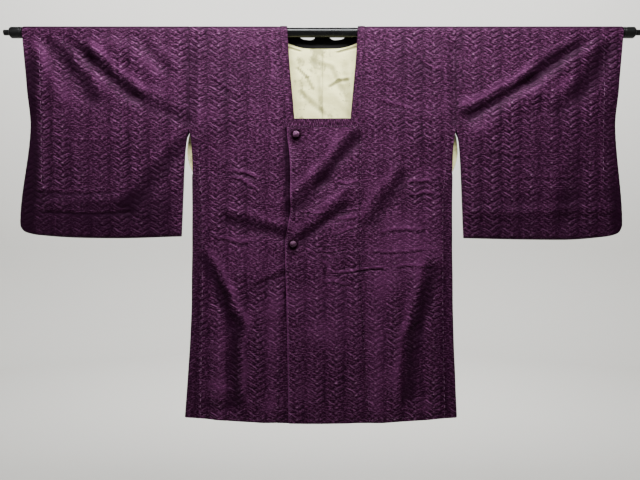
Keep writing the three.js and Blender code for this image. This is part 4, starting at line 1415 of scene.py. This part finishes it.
def button_material(name, deep, mid, lit, rough, shine):
    material, tree, shader = new_material(name)
    where = object_place(tree)
    flat = node(tree, "ShaderNodeMapping")
    feed(tree, flat.inputs["Vector"], where)
    flat.inputs["Rotation"].default_value = (-math.pi / 2, 0, 0)
    pattern = woven(tree, flat.outputs["Vector"])
    pattern.inputs["Repeat width"].default_value = 0.03
    pattern.inputs["Repeat height"].default_value = 0.018
    weave = pattern.outputs
    tone = blend_colour(tree, weave["Bright"], blend_colour(tree, weave["Height"], deep, mid), lit)
    height = calc(tree, "MULTIPLY_ADD", noise(tree, where, 1500, 2.0), 0.3, weave["Height"])
    roughness = calc(tree, "MULTIPLY_ADD", weave["Thread"], 0.2, rough)
    finish(
        tree, shader, tone, roughness, bumped(tree, height, 0.0005),
        Specular_IOR_Level=shine, Sheen_Weight=shine, Sheen_Tint=srgb(190, 130, 175),
    )
    return material


# The lower button's silk is a darker copy of the upper one, as painted shade for the shadow it hangs in
button_silks = {
    "upper": button_material(
        "purple silk on the upper mould", srgb(66, 30, 58), srgb(118, 74, 110), srgb(160, 118, 150),
        0.42, 0.2),
    "lower": button_material(
        "purple silk on the lower mould, darkened as painted shade", srgb(48, 22, 41), srgb(87, 56, 80), srgb(118, 88, 110), 0.42, 0.15),
}
# The rings' near-black silk is painted shade round the balls
shade_ring_silk = button_material(
    "ring silk darkened as painted shade", srgb(17, 4, 13), srgb(30, 8, 24), srgb(44, 16, 35), 0.7, 0.02)

for label, x, drop in BUTTONS:
    flat_x, length = np.array([x]), np.array([front_length(drop)])
    out = body_outward(flat_x, length)[0]
    foot = body_form(flat_x, length)[0] + out * (OVERLAP_LIFT + SILK / 2 + 0.2)
    button = covered_ball(f"covered_button_{label}", foot, out)
    button.data.materials.append(button_silks[label])
    button.data.materials.append(shade_ring_silk)
    for polygon in button.data.polygons[-RING_STEPS * CORD_SIDES:]:
        polygon.material_index = 1
    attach(button, "root")
    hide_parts(f"button_{label}")


# The stitches are single pick stitches of silk thread. They hold the overlap's edge, the band, the
# gusset seams, the cuff allowances and the hem, and cream ones run down the lining's centre seam.
PICK_STITCH = 2.8
SEAM_STITCH = 6.2
THREAD_RADIUS = 0.45


def stitch_tool():
    """Puts a small round stitch on every point, along the seam and out of the cloth."""
    tool, ins, outs = new_group("pick stitches", "GeometryNodeTree", {
        "Points": ("Geometry",), "Length": ("Float",), "Radius": ("Float",), "Seed": ("Int",),
        "Thread": ("Material",),
    }, {"Stitches": ("Geometry",)})
    ball = node(tool, "GeometryNodeMeshUVSphere")
    ball.inputs["Segments"].default_value = 8
    ball.inputs["Rings"].default_value = 5
    size = node(tool, "ShaderNodeCombineXYZ")
    half = calc(tool, "MULTIPLY", ins.outputs["Length"], 0.5)
    for socket, value in zip(size.inputs, (half, ins.outputs["Radius"], ins.outputs["Radius"])):
        feed(tool, socket, value)
    shaped = node(tool, "GeometryNodeTransform")
    feed(tool, shaped.inputs["Geometry"], ball.outputs["Mesh"])
    feed(tool, shaped.inputs["Scale"], size.outputs[0])
    turn = node(tool, "FunctionNodeAxesToRotation", primary_axis="X", secondary_axis="Z")
    for label, socket in (("along", "Primary Axis"), ("outward", "Secondary Axis")):
        named = node(tool, "GeometryNodeInputNamedAttribute", data_type="FLOAT_VECTOR")
        named.inputs["Name"].default_value = label
        feed(tool, turn.inputs[socket], named.outputs["Attribute"])
    chance = node(tool, "FunctionNodeRandomValue", data_type="FLOAT")
    feed(tool, chance.inputs[2], 0.75)
    feed(tool, chance.inputs[3], 1.2)
    feed(tool, chance.inputs["Seed"], ins.outputs["Seed"])
    spread = node(tool, "GeometryNodeInstanceOnPoints")
    feed(tool, spread.inputs["Points"], ins.outputs["Points"])
    feed(tool, spread.inputs["Instance"], shaped.outputs["Geometry"])
    feed(tool, spread.inputs["Rotation"], turn.outputs["Rotation"])
    feed(tool, spread.inputs["Scale"], chance.outputs[1])
    real = node(tool, "GeometryNodeRealizeInstances")
    feed(tool, real.inputs["Geometry"], spread.outputs["Instances"])
    painted = node(tool, "GeometryNodeSetMaterial")
    feed(tool, painted.inputs["Geometry"], real.outputs["Geometry"])
    feed(tool, painted.inputs["Material"], ins.outputs["Thread"])
    feed(tool, outs.inputs["Stitches"], painted.outputs["Geometry"])
    return tool


STITCH_TOOL = stitch_tool()


def sewn_row(place, outward, spacing):
    """Points, directions along the seam and outward directions, evenly spaced on a line of places."""
    steps = np.linalg.norm(np.diff(place, axis=0), axis=-1)
    run = np.insert(np.cumsum(steps), 0, 0)
    stations = np.arange(spacing * 0.5, run[-1], spacing)
    stations = stations + 0.18 * spacing * np.sin(stations * 1.7)

    def at(values, where):
        return np.stack([np.interp(where, run, values[:, k]) for k in range(3)], -1)

    along = at(place, stations + 0.5) - at(place, stations - 0.5)
    along /= np.maximum(np.linalg.norm(along, axis=-1, keepdims=True), 1e-9)
    return at(place, stations), along, at(outward, stations)


def row_on_body(x, length, lift, spacing):
    x, length, lift = np.broadcast_arrays(x, length, lift)
    length = hem_lifted(x, length)
    out = body_outward(x, length)
    return sewn_row(body_form(x, length) + out * lift[..., None], out, spacing)


def stitches(name, rows, stitch_length, thread, seed):
    places, along, outward = (np.concatenate(parts) for parts in zip(*rows))
    mesh = bpy.data.meshes.new(f"{name}_points")
    mesh.from_pydata([tuple(p * MM) for p in places], [], [])
    for label, values in (("along", along), ("outward", outward)):
        layer = mesh.attributes.new(label, "FLOAT_VECTOR", "POINT")
        layer.data.foreach_set("vector", values.astype(np.float32).ravel())
    points = placed(f"{name}_points", mesh)
    sewing = points.modifiers.new("sewing", "NODES")
    sewing.node_group = STITCH_TOOL
    values = {"Length": stitch_length * MM, "Radius": THREAD_RADIUS * MM, "Seed": seed, "Thread": thread}
    for item in STITCH_TOOL.interface.items_tree:
        if item.name in values:
            sewing[item.identifier] = values[item.name]
    bpy.context.view_layer.update()
    shape = bpy.data.meshes.new_from_object(points.evaluated_get(bpy.context.evaluated_depsgraph_get()))
    bpy.data.objects.remove(points)
    return placed(name, shape)


def thread_material(name, colour, lit, dull):
    material, tree, shader = new_material(name)
    twist = noise(tree, stretched(tree, object_place(tree), (900, 900, 1600)), 1.0, 2.0, 0.6)
    worn = ramp(tree, noise(tree, object_place(tree), 16.0, 2.0, 0.6), 0.40, 0.62, 0.0, 0.75)
    tone = blend_colour(tree, worn, blend_colour(tree, twist, colour, lit), dull)
    finish(tree, shader, tone, 0.5, bumped(tree, twist, 0.0002), Specular_IOR_Level=0.2)
    return material


purple_thread = thread_material("purple silk thread", srgb(98, 60, 92), srgb(150, 112, 142), srgb(58, 28, 52))
cream_thread = thread_material(
    "cream silk thread", srgb(150, 146, 112), srgb(206, 202, 160), srgb(170, 166, 124))
ON_CLOTH = SILK / 2 + 0.15
EDGE_SPACING, EDGE_INSET = 6.6, 3.6
BAND_SPACING = 6.0
SEAM_SPACING = 13.5
FRONT_SEAM_SPACING = 13.0
HEM_SPACING, HEM_TURNING = 11.0, 9
LINING_SPACING = 5.5
CUFF_ALLOWANCE = 620.0

# The allowances' stitch lines beside the slits and gussets: drop, front, back
ALLOWANCE = np.array([
    (225, 276, 280),
    (300, 272, 276),
    (370, 266, 266),
    (588, 265.5, 265.5),
    (737, 268, 270),
    (863, 270, 274),
])

drops = np.linspace(216, HEM_DROP - 3, 200)
edge_x = curve_through(TOP_EDGE, drops) + EDGE_INSET
edge_rise = top_lift(edge_x) + edge_lift(drops, EDGE_INSET) + ON_CLOTH + 0.2
rows = [row_on_body(edge_x, front_length(drops), edge_rise, EDGE_SPACING)]
band_x = np.linspace(-78, 78, 60)
rows.append(row_on_body(band_x, front_length(210.6), top_lift(band_x) + ON_CLOTH + 1.0, BAND_SPACING))
seam_rows = []
for sign in (1, -1):
    drops = np.linspace(228, HEM_DROP - 4, 200)
    for way_length, column in ((front_length(drops), 1), (back_length(drops), 2)):
        seam_x = sign * curve_through(ALLOWANCE, drops, column)
        seam_rows.append(row_on_body(seam_x, way_length, ON_CLOTH, SEAM_SPACING))
    if sign > 0:
        drops = np.linspace(214, 860, 160)
        seam_x = curve_through(FRONT_SEAM, drops) + 2.4
        rows.append(row_on_body(seam_x, front_length(drops), ON_CLOTH, FRONT_SEAM_SPACING))
    for way_length, start, count in ((front_length, 104, 60), (back_length, 4, 80)):
        hem_x = sign * np.linspace(start, 262, count)
        rows.append(row_on_body(hem_x, way_length(HEM_DROP - HEM_TURNING), ON_CLOTH, HEM_SPACING))
    drops = np.linspace(14, 340, 120)
    for way in (-1, 1):
        allowance_x = np.full_like(drops, CUFF_ALLOWANCE)
        half = sleeve_half_depth(drops, (allowance_x - 300) / SLEEVE_WIDTH)
        half = half + cloth_height(np.full_like(drops, way), sign * allowance_x, drops) + ON_CLOTH
        place = np.stack([sign * allowance_x, way * half, -drops], -1)
        seam_rows.append(sewn_row(place, np.broadcast_to((0.0, way, 0.0), place.shape), SEAM_SPACING))
for name, sewn_rows, stitch_length, seed in (
    ("pick_stitches", rows, PICK_STITCH, 7), ("seam_stitches", seam_rows, SEAM_STITCH, 8)
):
    sewn = stitches(name, sewn_rows, stitch_length, purple_thread, seed)
    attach(sewn, "root")

drops = np.linspace(44, 380, 100)
inward = body_form(0 * drops, back_length(drops)) * (1, 0, 1) + np.stack(
    [0 * drops, body_half_depth(0 * drops, drops) - 5.6, 0 * drops], -1)
lining_rows = [sewn_row(inward, np.broadcast_to((0.0, -1.0, 0.0), inward.shape), LINING_SPACING)]
lining_seam = stitches("lining_stitches", lining_rows, PICK_STITCH, cream_thread, 9)
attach(lining_seam, "root")


# The camera stands straight in front of the coat, level with the middle of the picture. The floor
# and the round backdrop are plain and pale, and the light is soft, from above and in front.
MM_PER_PIXEL = 2.197
PICTURE_WIDTH = 640
PICTURE_CENTRE = (-5.5, -459.8)
CLOTH_PLANE = -12.5
LENS = 35.0
SENSOR = 36.0

camera = bpy.data.cameras.new("camera")
camera.lens, camera.sensor_width = LENS, SENSOR
viewer = placed("camera", camera)
distance = MM_PER_PIXEL * PICTURE_WIDTH * LENS / SENSOR
viewer.location = (PICTURE_CENTRE[0] * MM, (CLOTH_PLANE - distance) * MM, PICTURE_CENTRE[1] * MM)
viewer.rotation_euler = (math.pi / 2, 0, 0)
bpy.context.scene.camera = viewer

FLOOR = -1.32
BACKDROP_RADIUS = 4.2
BACKDROP_CURVE = 0.8
BACKDROP_SIDES = 96
curve_start = (BACKDROP_RADIUS - BACKDROP_CURVE, FLOOR)
outline = [(0.5, FLOOR), curve_start]
for angle in np.linspace(0.15, math.pi / 2, 9):
    across, rise = BACKDROP_CURVE * math.sin(angle), BACKDROP_CURVE * (1 - math.cos(angle))
    outline.append((curve_start[0] + across, FLOOR + rise))
outline += [(BACKDROP_RADIUS, 1.2), (BACKDROP_RADIUS, 3.0)]
points, quads = [], []
for radius, z in outline:
    for angle in np.linspace(0, 2 * math.pi, BACKDROP_SIDES, endpoint=False):
        points.append((radius * math.cos(angle), radius * math.sin(angle), z))
for k in range(len(outline) - 1):
    for j in range(BACKDROP_SIDES):
        low, after = k * BACKDROP_SIDES, (j + 1) % BACKDROP_SIDES
        quads.append((low + j, low + BACKDROP_SIDES + j, low + BACKDROP_SIDES + after, low + after))
points.append((0.0, 0.0, FLOOR))
middle_fan = [(len(points) - 1, j, (j + 1) % BACKDROP_SIDES) for j in range(BACKDROP_SIDES)]
backdrop = new_mesh("backdrop", points, quads, middle_fan)
paper, tree, shader = new_material("pale backdrop")
feed(tree, shader.inputs["Base Color"], srgb(176, 175, 171))
shader.inputs["Roughness"].default_value = 0.9
backdrop.data.materials.append(paper)


def soft_light(name, place, target, size, power):
    light = bpy.data.lights.new(name, "AREA")
    light.shape, light.size, light.size_y, light.energy = "RECTANGLE", size[0], size[1], power
    lamp = placed(name, light)
    lamp.location = place
    lamp.rotation_euler = (Vector(target) - Vector(place)).to_track_quat("-Z", "Y").to_euler()


soft_light("key light", (0.0, -0.56, 0.60), (0, 0, -0.40), (1.3, 0.25), 43)
soft_light("side light", (-2.2, -1.5, 0.2), (0, 0, -0.5), (0.6, 1.0), 5)
soft_light("wall light", (0.0, 1.6, 2.3), (0, 4.2, 0.6), (4.0, 0.8), 400)
soft_light("back light", (0.3, 1.6, 0.9), (0, 0, -0.5), (1.6, 0.8), 26)
soft_light("floor light", (0.0, 1.2, 1.2), (0, 2.2, -1.3), (3.0, 0.6), 50)
world = bpy.data.worlds.new("soft room")
world.use_nodes = True
world.node_tree.nodes["Background"].inputs["Color"].default_value = (0.95, 0.97, 1.0, 1.0)
world.node_tree.nodes["Background"].inputs["Strength"].default_value = 0.03
bpy.context.scene.world = world
